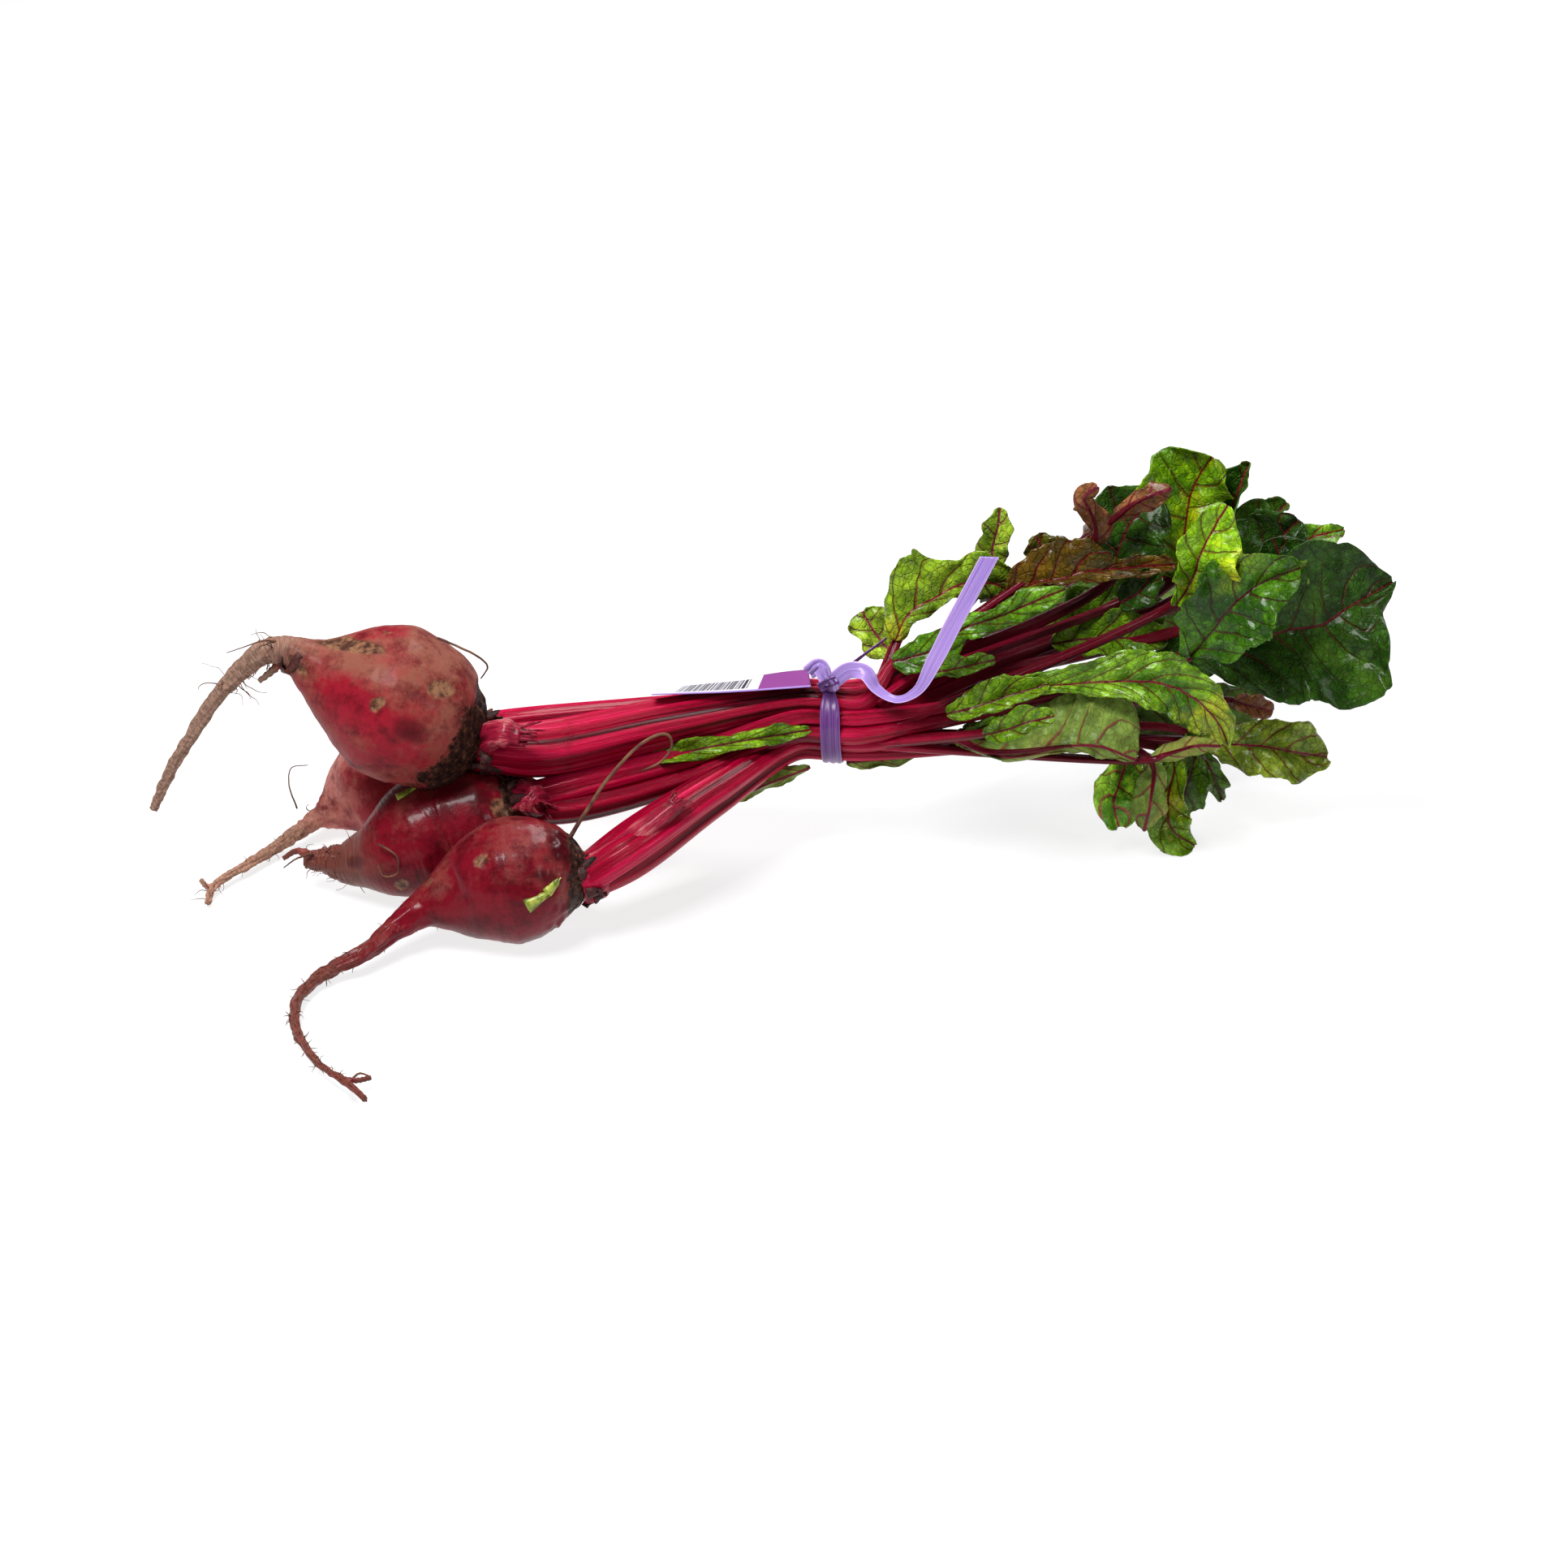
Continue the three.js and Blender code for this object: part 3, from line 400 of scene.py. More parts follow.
# Skin of a root: crimson under dust, dark and scaly at the crown, ringed towards the tip
def rootMaterial(name, clean, worn, tailShade, rough, coat):
    material, tree, shader = newMaterial(name, rough, coat, 0.14, 0.10)
    spot = objectSpot(tree)
    tint = node(tree, "ShaderNodeVertexColor", layer_name="tint")
    parts = node(tree, "ShaderNodeSeparateColor")
    feed(parts.inputs["Color"], tint.outputs["Color"])
    fine, cloud = speckle(spot, 300, 4, 0.6), speckle(spot, 62, 6, 0.65)

    def ragged(mask, cloudShare, fineShare, low, high):
        shaken = scaled(minus(cloud, 0.5), cloudShare, mask)
        shaken = scaled(minus(fine, 0.5), fineShare, shaken)
        return ramp(shaken, (low, 0), (high, 1))
    dust = ragged(parts.outputs["Blue"], 2.0, 0.7, 0.26, 0.92)
    colour = blend(dust, clean, worn)
    colour = blend(ramp(speckle(spot, 105, 6, 0.72), (0.36, 0.85), (0.54, 0)), colour, dimmed(clean, 0.36))
    pale = ramp(speckle(spot, 170, 4, 0.7), (0.60, 0), (0.74, 0.55))
    colour = blend(times(pale, dust), colour, tuple(min(1, c * 1.35 + 0.03) for c in worn))
    bands = speckle(uvSpot(tree, (2.5, 75, 1)), 2.6, 4, 0.65)
    colour = blend(ramp(bands, (0.58, 0), (0.72, 0.35)), colour, dimmed(clean, 0.45))
    tail = ragged(scaled(split(uvSpot(tree))["Y"], 3.2, -1.15), 0.6, 0.3, 0.35, 0.85)
    colour = blend(tail, colour, blend(ramp(bands, (0.4, 0), (0.6, 1)), dimmed(tailShade, 0.5), tailShade))
    # Dark spots from scars and deep marks; the middle root's mark under the top root is painted shade
    colour = blend(ragged(tint.outputs["Alpha"], 0.5, 0.4, 0.3, 0.75), colour, dimmed(clean, 0.28))
    rim = ragged(parts.outputs["Green"], 0.7, 0.7, 0.28, 0.58)
    corky = blend(ramp(fine, (0.4, 0), (0.62, 1)), (0.055, 0.020, 0.013), (0.25, 0.115, 0.06))
    colour = blend(rim, colour, corky)
    soil = ragged(parts.outputs["Red"], 1.7, 0.9, 0.40, 0.60)
    earth = ramp(speckle(spot, 380, 5, 0.75), (0.40, (0.005, 0.002, 0.002)), (0.56, (0.040, 0.014, 0.009)),
                 (0.74, (0.20, 0.085, 0.04)))
    feed(shader.inputs["Base Color"], blend(soil, colour, earth))
    worse = scaled(soil, 0.35, scaled(dust, 0.22, rough))
    feed(shader.inputs["Roughness"], scaled(fine, 0.12, worse))
    height = scaled(bands, scaled(tail, 1.1, 0.25), times(fine, 0.9))
    relief(shader, scaled(soil, 1.2, scaled(rim, -0.5, height)), 0.5, 0.0007)
    return material


# Plain material in shades of a fine cloud
def mottled(name, finish, cloud, *stops):
    material, tree, shader = newMaterial(name, *finish)
    feed(shader.inputs["Base Color"], ramp(speckle(objectSpot(tree), *cloud), *stops))
    return material, tree, shader


skinGlossy = rootMaterial("skinGlossy", (0.165, 0.0035, 0.012), (0.22, 0.055, 0.042), (0.20, 0.055, 0.040),
                          0.27, 0.15)
skinDusty = rootMaterial("skinDusty", (0.27, 0.008, 0.020), (0.23, 0.072, 0.048), (0.34, 0.20, 0.145),
                         0.40, 0.05)
# Back root: its own pale dusty skin, made lighter as painted light to make up for the shade the top root casts on it
skinPaleWithPaintedLight = rootMaterial("skinPaleWithPaintedLight", (0.34, 0.026, 0.036), (0.53, 0.205, 0.165), (0.42, 0.22, 0.15), 0.38, 0.05)
hairBrown = mottled("hairBrown", (0.6, 0, 0.3, 0.2), (150, 2), (0.35, (0.055, 0.016, 0.014)),
                    (0.65, (0.19, 0.085, 0.045)))[0]
scaleBrown, scaleTree, scaleShader = mottled("scaleBrown", (0.6, 0, 0.3, 0.25), (210, 5, 0.7),
    (0.36, (0.006, 0.002, 0.003)), (0.54, (0.055, 0.012, 0.012)), (0.70, (0.17, 0.06, 0.03)))
relief(scaleShader, speckle(objectSpot(scaleTree), 420, 4), 0.6, 0.0006)
scrapGreen = mottled("scrapGreen", (0.35, 0.2, 0.2, 0.3), (260, 4, 0.7), (0.38, (0.08, 0.11, 0.010)),
                     (0.52, (0.28, 0.34, 0.03)), (0.68, (0.52, 0.52, 0.12)))[0]


# Lumps and furrows of the bulb, rings and knobs of the thin tail, scales at the crown
def rootSkin(name, order):
    size = runThrough(lineOf(rootPlan[name])[1])

    def shape(turn, v):
        reach = np.maximum(size(v)[:, 0], 1)
        wide = np.empty(len(turn))
        for i, (angle, along) in enumerate(zip(turn, v)):
            c, s = math.cos(angle), math.sin(angle)
            body = noisy(c * 1.3 + order * 5, s * 1.3, along * 5)
            furrow = noisy(c * 2.6 + order * 3, s * 2.6, along * 1.5)
            ring = noisy(c * 0.8, s * 0.8, along * 95 + order * 3)
            knob = noisy(c * 2, s * 2, along * 34 + order * 9)
            scaly = noisy(c * 6, s * 6, along * 60 + order)
            thin = min(1, max(0, (10 - reach[i]) / 5)) * (along > 0.2)
            crown = min(1, max(0, (0.11 - along) * 14))
            wide[i] = (1 + rootLook["lump"] * (body + 0.7 * furrow)
                       + (rootLook["ring"] + rootLook["tailRing"] * thin) * ring / reach[i]
                       + rootLook["knob"] * thin * knob / reach[i] + rootLook["scaly"] * crown * scaly)
        return wide
    return shape


# How far inside a mark a point lies, with a soft edge
def oval(right, up, x, y, long, wide, tilt, strength):
    turn = math.radians(tilt)
    a = (right - x) * math.cos(turn) + (up - y) * math.sin(turn)
    b = (up - y) * math.cos(turn) - (right - x) * math.sin(turn)
    return strength / (1 + np.exp(5 * (np.hypot(a / long, b / wide) - 1)))


# Soil, scars, dust and dark spots of a root as a colour on its points, with scars sunk in
def painted(piece, name):
    places, normals = spotsOf(piece)
    right, up = drawn(places)
    facing = np.clip((normals @ towardsEye) * 3, 0, 1)
    centres = runThrough(lineOf(rootPlan[name])[0])(np.linspace(0, 1, 300))
    nearest = np.array([np.argmin(((centres - spot) ** 2).sum(axis=1)) for spot in places]) / 299
    edge = rootLook["soil"][name]
    tint = np.zeros((len(places), 4))
    tint[:, 0] = np.clip((edge * 1.35 - nearest) / (edge * 0.7), 0, 1)
    tint[:, 2] = rootLook["dust"][name] + 0.22 * np.clip(normals[:, 2] + 0.4 * normals[:, 0], -1, 1)
    sunk = np.zeros(len(places))
    for kind, *mark in markPlan[name]:
        share = oval(right, up, *mark) * facing
        if kind in ("scar", "tan"):
            tint[:, 1] = np.maximum(tint[:, 1], share)
            sunk = np.maximum(sunk, share * rootLook["sunk"][kind])
        if kind in ("scar", "deep"):
            tint[:, 3] = np.maximum(tint[:, 3], share * 0.9)
        if kind == "clean":
            tint[:, 2] -= share * 0.75
    storeColours(piece, "tint", np.clip(tint, 0, 1))
    raised(piece, places - normals * sunk[:, None], 0.02)


# Keeps a piece a little above the ground
def raised(piece, places, clearance):
    places[:, 2] = np.maximum(places[:, 2], rootLook["floor"] + clearance)
    movedTo(piece, places)


# Fine hairs from the thin end of a root
def rootHairs(name, order):
    rule = random.Random(rootLook["seed"] + order)
    count, start, end = rootLook["hairs"][name]
    place, size = [runThrough(values) for values in lineOf(rootPlan[name])]
    made = []
    for i in range(count):
        share = start + (end - start) * rule.random() ** 0.8
        ahead = unit(place(share + 0.01) - place(share - 0.01))[0]
        out = np.array([rule.uniform(-1, 1) for _ in range(3)])
        out = unit(out - ahead * (out @ ahead))
        spot = place(share)[0] + out * size(share)[0, 0] * 0.9
        long = rule.uniform(*rootLook["hairLength"][name])
        way = out + ahead * rule.uniform(-0.2, 0.9)
        centres = [spot]
        for step in range(rootLook["hairSteps"]):
            way = unit(way + np.array([rule.uniform(-0.5, 0.5) for _ in range(3)]) + np.array([0, 0, -0.08]))
            spot = spot + way * long / rootLook["hairSteps"]
            centres.append(spot)
        thick = rootLook["hairRadius"] * rule.uniform(0.6, 1.3)
        radii = dimmed(rootLook["hairTaper"], thick)
        made.append(rolledTube("hair", centres, radii, *rootLook["hairMesh"], least=0.08))
    return made


# Ragged flap from a starting edge: where it starts, which way it points and which way it lies
def flap(name, start, ahead, out, long, wide, rule, curl):
    across = unit(np.cross(ahead, out))
    seed = rule.uniform(0, 90)

    def puts(u, v, row):
        shake = np.array([noisy(a * 2.5 + seed, b * 2.5, seed) for a, b in zip(u, v)])
        tear = np.array([noisy(a * 5 + seed, seed, 3) for a in u])
        taper = (1 - 0.65 * v ** 1.6) * (1 + 0.3 * shake)
        reach = v * long * (1 + 0.5 * tear)
        rise = curl * v ** 2 * long + 0.18 * wide * shake * v - 0.25 * wide * ((u - 0.5) * 2) ** 2
        return (start + across * ((u - 0.5) * wide * taper)[:, None] + ahead * reach[:, None] + out * rise[:, None])
    return thickened(shapedGrid(name, flapLook["across"], flapLook["along"], puts), flapLook["thick"])


# Places round an axis: directions outwards, each a little off its turn
def roundAbout(axis, count, stray, rule):
    side = unit(np.cross(axis, upright))
    for i in range(count):
        turn = fullTurn * (i + rule.uniform(-stray, stray)) / count
        yield math.cos(turn) * side + math.sin(turn) * np.cross(axis, side)


# Dry stumps of old leaves round a crown
def crownScales(name, order, at, lean, reach):
    rule = random.Random(rootLook["seed"] * 3 + order)
    foot, lean = seen(*at), unit(np.array(lean, dtype=float))
    longs, wides = rootLook["scaleSize"]
    made = []
    for out in roundAbout(lean, rootLook["scales"], 0.4, rule):
        near = reach * rule.uniform(0.75, 1.15)
        start = foot + out * near + lean * rule.uniform(-4.5, -0.5)
        ahead = unit(lean + out * rule.uniform(-0.5, 0.6))
        made.append(flap("scale", start, ahead, unit(out - ahead * (out @ ahead)),
                         rule.uniform(*longs), rule.uniform(*wides), rule, rule.uniform(-0.25, 0.35)))
    return made


# Place and normal of the skin nearest to a spot of the picture
def onSkin(piece, right, up):
    places, normals = spotsOf(piece)
    across, high = drawn(places)
    far = np.hypot(across - right, high - up) + np.where(normals @ towardsEye > 0.1, 0, 1000)
    best = int(np.argmin(far))
    return places[best], normals[best]


# Leaf scraps stuck to the skins: right, up, length, width, tilt
scrapPlan = {"top": [(-186, 42.5, 12, 7, 215), (-181, 44.5, 9, 6, 235)], "middle": [(-139.5, -3.4, 8.5, 3.6, 62)],
    "front": [(-92, -42.5, 8.5, 5.5, 25), (-85.5, -38.2, 7, 4.5, 40)]}
# Rims of the crowns: place, lean and radius
crownSpots = {"top": ((-111, 14, 31), (0.95, 0.1, -0.15), 13.5), "back": ((-132, 9, 77), (0.92, 0, 0.3), 10),
    "middle": ((-97, -7.5, 30), (0.96, 0.2, 0.2), 11.5), "front": ((-75, -34, -6), (0.9, 0.5, 0.4), 10.5)}

sizes = (("rings", "sides"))
rings, sides = [rootLook[key] for key in sizes]
for order, (name, line) in enumerate(rootPlan.items()):
    root = rolledTube("root" + name.capitalize(), *lineOf(line), rings, sides, rootSkin(name, order))
    painted(root, name)
    skin = {"top": skinDusty, "back": skinPaleWithPaintedLight}.get(name, skinGlossy)
    root.data.materials.append(skin)
    made = [root]
    for index, thin in enumerate(rootletPlan[name]):
        thread = rolledTube("rootlet", *lineOf(thin), *rootLook["threadMesh"],
                            lambda turn, v: 1 + 0.12 * np.sin(40 * v + 3 * turn), least=0.12)
        thread.data.materials.append(hairBrown if index else skin)
        storeColours(thread, "tint", rootLook["threadTint"])
        made.append(thread)
    for pieces, material in ((rootHairs(name, order), hairBrown),
                             (crownScales(name, order, *crownSpots[name]), scaleBrown)):
        for piece in pieces:
            piece.data.materials.append(material)
        made += pieces
    rule = random.Random(order + 40)
    for right, up, long, wide, tilt in scrapPlan.get(name, []):
        spot, out = onSkin(root, right, up)
        level = unit(np.cross(upright, out))
        turn = math.radians(tilt)
        ahead = level * math.cos(turn) + np.cross(out, level) * math.sin(turn)
        start = spot + out * rootLook["scrapLift"] - ahead * long / 2
        scrap = flap("scrap", start, ahead, out, long, wide, rule, -0.03)
        scrap.data.materials.append(scaleBrown if name == "top" else scrapGreen)
        made.append(scrap)
    whole = joined(root.name, made)
    raised(whole, spotsOf(whole)[0], rootLook["clearance"])
    finished(whole, "skin_dusty" if name in ("top", "back") else "skin_glossy", "root_" + name)
print("roots done")

# Crowns of the roots and the places of their stalks in the tie, in millimetres
tiePlan = {"centre": (16.8, 62, 55), "inner": 16.3, "width": 7.5, "steps": 120}
stalkPlan = {"foot": 5.3, "tie": 3.05, "ribFoot": 1.35, "ribTip": 0.5, "gap": 0.3, "blade": 1.1,
    "rings": 90, "branchRings": 36, "sides": 40, "branch": 0.8,
    "neck": {"along": (-6, 0, 6), "radii": [8, 9, 7.5], "rings": 16, "sides": 48},
    "torn": {"rings": 40, "sides": 36, "fibres": 11, "size": ((4, 8), (1.6, 3)), "ridge": 0.65}}
crownPlan = {
    "top": {"at": (-109, 13.5, 31), "lean": (0.95, 0.05, -0.3), "fan": 1.6, "rise": 0.5,
        "slots": [(0, 10.5), (6.3, 10.5), (-6.3, 10.5), (3.15, 5.25), (-3.15, 5.25)]},
    "middle": {"at": (-94, -7, 30), "lean": (0.96, 0.1, 0), "fan": 1.9, "rise": -2.5,
        "slots": [(-9.45, 5.25), (-6.3, 0), (-12.6, 0), (0, 0)]},
    "front": {"at": (-72, -34, -6), "lean": (0.9, 0.2, 0.5), "fan": 2.3, "rise": 1.5,
        "slots": [(-9.45, -5.25), (-3.15, -5.25), (-6.3, -10.5), (0, -10.5)]},
    "back": {"at": (-130, 10, 77), "lean": (0.92, -0.1, 0.4), "fan": 1.3, "rise": 0,
        "slots": [(9.45, 5.25), (6.3, 0), (12.6, 0), (3.15, -5.25), (9.45, -5.25), (6.3, -10.5)]},
}
# Broken stalks at the crowns as right, up, depth, radius
stubPlan = {
    "top": [[-111, 15, 28, 5.5], [-104, 18.5, 17, 5], [-97, 17.6, 15, 4]],
    "middle": [[-97, -6, 28, 7], [-93, -6.5, 21, 6], [-90, -8, 18, 4.6]],
    "front": [[-72, -33, -8, 5], [-56, -21, -3, 4.2], [-40, -8, 4, 3.6]],
}

# Leaves: root and slot of the stalk, whether it has its own, branches or lies loose, and colour; then widths to the
# left and right, fold and curl of each half, wave, and rib points as right, up, depth, turn
leafKeys = ("root", "slot", "kind", "colour", "left", "right", "fold", "curl", "wave", "rib")
leafRows = {
    "pale_front": ("front", 0, "own", "pale", [1, 2, 1.5, 3, 4.5, 2], [2.5, 10, 18.5, 21.5, 30, 10], (16, 8),
        (30, 30), 3, [[61, 17, 50, 176], [70, 14, 46, 176], [82, 10, 42, 176], [105, 14, 39, 178],
        [116, 14, 38, 180], [130, 9, 42, 184]]),
    "pale_roll": ("front", 0, "branch", "pale", [1.5, 3, 3.5, 2], [2.5, 4, 4, 2], (20, 20), (30, 30), 1.2,
        [[136, 9, 46, 176], [142, 11, 45, 176], [152, 14, 46, 178], [161, 14, 50, 180]]),
    "lime_torn": ("front", 0, "branch", "lime", [2.5, 5.5, 6.5, 2.5], [2.5, 5, 3.5, 2], (20, 10), (20, 20), 1.2,
        [[74, 18, 34, 10], [82, 20, 31, 0], [91, 23, 30, 0], [100, 25, 31, 0]]),
    "droop_pale": ("front", 1, "branch", "pale", [1, 4, 6, 7, 3], [1, 4, 6, 6.5, 3], (14, 12), (20, 24), 1.6,
        [[131, 12, 52, 176], [136, 7, 50, 176], [136, -1, 46, 178], [135, -9, 44, 180], [133, -17, 47, 182]]),
    "droop_left": ("front", 1, "own", "leaf", [1, 5, 9.5, 12.5, 4], [1, 6, 11.5, 9.5, 3], (14, 25), (25, 40), 2.4,
        [[121, 13, 68, -10], [126, 8, 66, -10], [124, 0, 60, -12], [122, -7, 56, -10], [124, -16, 55, -4]]),
    "droop_tip": ("front", 2, "own", "lime", [1, 4, 6.5, 8, 2], [1, 5, 8, 10, 2.5], (12, 10), (20, 20), 2.2,
        [[138, 14, 66, 0], [144, 8, 63, 0], [142, -6, 57, 0], [143, -16, 54, 0], [152, -23, 58, 4]]),
    "long_front": ("middle", 0, "own", "leaf", [2, 4, 6.5, 11, 11.5, 11, 7, 2], [2, 3, 4, 7, 12, 11, 7, 2],
        (12, 10), (20, 24), 2.2, [[75, 31, 52, -16], [89, 35, 50, -14], [106, 37, 50, -10], [126, 38, 50, -6],
        [140, 37, 50, 0], [151, 32, 51, 10], [160, 23, 54, 24], [164, 15, 58, 36]]),
    "right_big": ("middle", 1, "own", "dark", [2.5, 9, 18, 26.5, 25, 4],
        [2.5, 11, 17.5, 23.5, 28, 31, 33.5, 32.5, 27.5, 9, 2.5], (34, 6), (24, 12), 3.2, [[151, 47, 76, 0],
        [166, 51, 72, 2], [187, 57, 68, 2], [199, 59, 68, -4], [208, 65, 70, -10], [225, 75, 82, -20]]),
    "front_wide": ("middle", 2, "own", "leaf", [4, 15, 17.5, 12.5, 2.5], [3, 13, 17, 14, 3], (12, 10), (26, 30),
        2.8, [[150, 47, 56, 8], [158, 56, 52, 8], [166, 66, 50, 4], [176, 74, 52, -2], [191, 80, 60, -10]]),
    "blistered": ("middle", 2, "branch", "lime", [2, 6.5, 8.5, 8.5, 3], [4, 12.5, 15.5, 12, 3.5], (14, 12),
        (20, 25), 2.6, [[145, 66, 66, -4], [151, 76, 60, -6], [154, 85, 58, -4], [158, 93, 60, 0],
        [164, 103, 64, 10]]),
    "ribbon_side": ("top", 2, "own", "leaf", [2.5, 6.5, 3.5, 4, 5.5, 1.5], [3.5, 8, 4.5, 4.5, 5, 1.5], (-24, 8),
        (-26, 26), 1.6, [[40, 45, 62, 14], [54, 49, 61, 20], [66, 57, 61, 24], [80, 62, 64, 24], [92, 67, 68, 18],
        [104, 72, 73, 10]]),
    "gloss_lime": ("middle", 3, "own", "lime", [3.5, 9.5, 9.5, 3.5], [3, 8, 8, 2.5], (18, 12), (30, 20), 1.8,
        [[99, 52, 82, -12], [114, 54, 82, -12], [129, 54, 83, -12], [142, 53, 86, -12]]),
    "mid_right": ("back", 0, "own", "dark", [3.5, 9.5, 11.5, 5], [4, 11.5, 14, 5], (16, 18), (34, 30), 2.6,
        [[169, 63, 84, -4], [178, 73, 80, -4], [183, 82, 79, 0], [181, 91, 82, 6]]),
    "inner_lime": ("front", 3, "branch", "lime", [2, 5.5, 8.5, 8, 3], [2, 6, 9, 8, 3], (14, 12), (20, 20), 2,
        [[149, 19, 81, -8], [152, 13, 80, -8], [151, 6, 78, -8], [148, -4, 77, -4], [146, -11, 79, 0]]),
    "right_tag": ("front", 3, "branch", "leaf", [2, 4, 4, 1.5], [2, 4, 4, 1.5], (14, 12), (20, 20), 1.4,
        [[154, 12, 72, -8], [158, 5, 70, -8], [160, -1, 70, -4], [162, -6, 72, 0]]),
    "autumn": ("middle", 3, "branch", "dry", [2.5, 4.5, 4.5, 2], [2.5, 4.5, 4.5, 2], (14, 12), (20, 20), 1,
        [[166, 31, 100, -8], [172, 29, 102, -8], [176, 28, 103, -6], [181, 27, 105, 0]]),
    "right_upper": ("back", 1, "branch", "dark", [6, 15.5, 15.5, 5], [6, 14.5, 14.5, 5], (14, 12), (24, 20), 2.4,
        [[160, 72, 104, -8], [173, 81, 106, -8], [183, 90, 108, -6], [190, 98, 111, 0]]),
    "behind_mid": ("back", 2, "branch", "lime", [5, 13, 13, 5], [4, 12, 12, 4], (12, 10), (20, 20), 2,
        [[98, 54, 112, -10], [112, 60, 114, -8], [127, 63, 116, -6], [141, 64, 118, 0]]),
    "small_round": ("top", 0, "branch", "dark", [3, 6.5, 6.5, 3], [3, 6.5, 6.5, 3], (14, 14), (24, 24), 1.2,
        [[124, 67, 84, -6], [130, 70, 83, -4], [134, 74, 84, 0], [136, 79, 87, 4]]),
    "red_rib": ("top", 0, "own", "rust", [1, 9, 13, 9.5, 4, 3, 1], [1, 3, 3.5, 6, 6.5, 5, 1.5], (26, 8), (34, 20),
        2, [[83, 69, 86, -30], [94, 75, 84, -30], [102, 76, 84, -30], [113, 79, 85, -28], [126, 80, 87, -28],
        [137, 81, 89, -28], [145, 81, 91, -28]]),
    "left_round": ("top", 4, "own", "leaf", [2.5, 12, 18.5, 10, 11, 3], [2, 5.5, 4.5, 4, 8.5, 3], (12, -16),
        (22, 20), 2.2, [[41, 53, 76, -20], [46, 63, 80, -14], [56, 69, 84, -6], [66, 74, 88, 0], [77, 74, 92, 8],
        [86, 70, 95, 20]]),
    "curled_tip": ("top", 0, "branch", "dry", [3.5, 5.5, 4.5, 4, 1.5], [3.5, 5.5, 4.5, 4, 1.5], (26, 26), (40, 40),
        1.2, [[113, 87, 94, 170], [115, 94, 92, 170], [113, 101, 88, 180], [111, 106, 85, 186],
        [116, 110, 84, 194]]),
    "flap": ("top", 1, "branch", "dry", [2.5, 4.5, 5.5, 2.5], [2.5, 4, 5, 2.5], (20, 20), (30, 30), 1.2,
        [[122, 98, 99, 176], [130, 104, 97, 178], [137, 107, 97, 180], [143, 109, 99, 184]]),
    "small_lobe": ("top", 2, "branch", "rust", [3.5, 7, 7, 3], [3.5, 7, 7, 3], (12, 12), (20, 20), 1.4,
        [[98, 76, 104, -6], [97, 83, 106, -6], [95, 88, 107, 0], [93, 92, 109, 6]]),
    "top_left": ("top", 1, "own", "dark", [6, 14, 15, 6], [7, 17, 18, 8], (10, 14), (20, 25), 2.6,
        [[121, 76, 102, -25], [124, 88, 107, -14], [129, 98, 110, -8], [139, 106, 113, 0]]),
    "top_leaf": ("top", 3, "own", "lime", [9, 17.5, 20.5, 9], [7, 13, 15, 7], (10, 8), (24, -10), 3,
        [[146, 76, 112, -12], [148, 93, 117, -10], [151, 109, 121, -6], [158, 121, 123, 0]]),
    "upright": ("top", 4, "branch", "lime", [5.5, 7, 6, 2], [5, 6.5, 6, 2], (10, 12), (20, 20), 1.2,
        [[77, 79, 106, -10], [77, 87, 108, -6], [79, 95, 109, 0], [80, 102, 110, 10]]),
    "far_left": ("back", 0, "branch", "lime", [3, 9, 9, 3.5], [3, 9.5, 10, 3.5], (14, 14), (20, 20), 1.8,
        [[41, 47, 96, 0], [35, 54, 101, 0], [31, 60, 105, 0], [29, 64, 108, 0]]),
    "low_right": ("front", 3, "own", "leaf", [3.5, 8.5, 10, 11.5, 5.5], [3, 9.5, 13, 13, 4], (10, 12), (16, 18),
        2.6, [[154, 17, 84, -14], [164, 15, 82, -12], [177, 14, 80, -10], [188, 12, 80, -6], [201, 10, 83, 0]]),
    "finger_one": ("back", 1, "own", "dark", [5, 8, 6, 1.5], [5, 7, 5.5, 1.5], (40, 42), (40, 40), 1.2,
        [[160, 89, 124, -30], [166, 104, 127, -30], [169, 112, 129, -26], [172, 119, 131, -20]]),
    "finger_two": ("back", 3, "own", "dark", [6, 8.5, 6, 2], [6, 8, 5.5, 2], (36, 38), (40, 40), 1.2,
        [[172, 85, 128, -30], [176, 95, 131, -28], [182, 100, 133, -26], [186, 104, 135, -20]]),
    "back_right": ("back", 2, "own", "leaf", [5, 7, 5, 1], [7, 11.5, 9.5, 2], (14, 12), (20, 20), 2,
        [[178, 80, 138, -20], [188, 88, 142, -24], [197, 92, 144, -26], [207, 94, 147, -30]]),
    "back_wide": ("back", 4, "own", "leaf", [10, 22, 22, 8], [9, 20.5, 20.5, 7], (12, 14), (24, 20), 3,
        [[130, 60, 140, 150], [152, 66, 150, 152], [172, 72, 156, 156], [192, 78, 158, 160]]),
    "back_low": ("back", 5, "own", "dark", [6, 14, 14, 5.5], [6.5, 15, 15, 5.5], (12, 10), (20, 24), 2.6,
        [[109, 33, 116, 152], [131, 29, 122, 154], [154, 28, 126, 156], [176, 31, 130, 156]]),
    "back_left": ("back", 5, "branch", "leaf", [5.5, 13, 13, 5], [5.5, 12, 12, 5], (14, 10), (22, 20), 2.2,
        [[76, 52, 118, 140], [90, 62, 130, 144], [104, 72, 138, 148], [118, 80, 142, 152]]),
    "strip": ("middle", 0, "loose", "lime", [2, 3.5, 3.5, 3.5, 1.5], [2.5, 4, 4, 3.5, 1.5], (20, 20), (20, 20), 2,
        [[-59, 8, 42, -10], [-41, 11, 40, -14], [-20, 15, 43, -10], [-2, 18, 47, -6], [10, 20, 50, 0]]),
    "under_left": ("front", 2, "loose", "pale", [2, 4, 4, 1.5], [2, 3.5, 3.5, 1.5], (14, 14), (20, 20), 1,
        [[11, 4, 52, 150], [-2, -1, 48, 150], [-14, -6, 44, 150], [-26, -11, 41, 150]]),
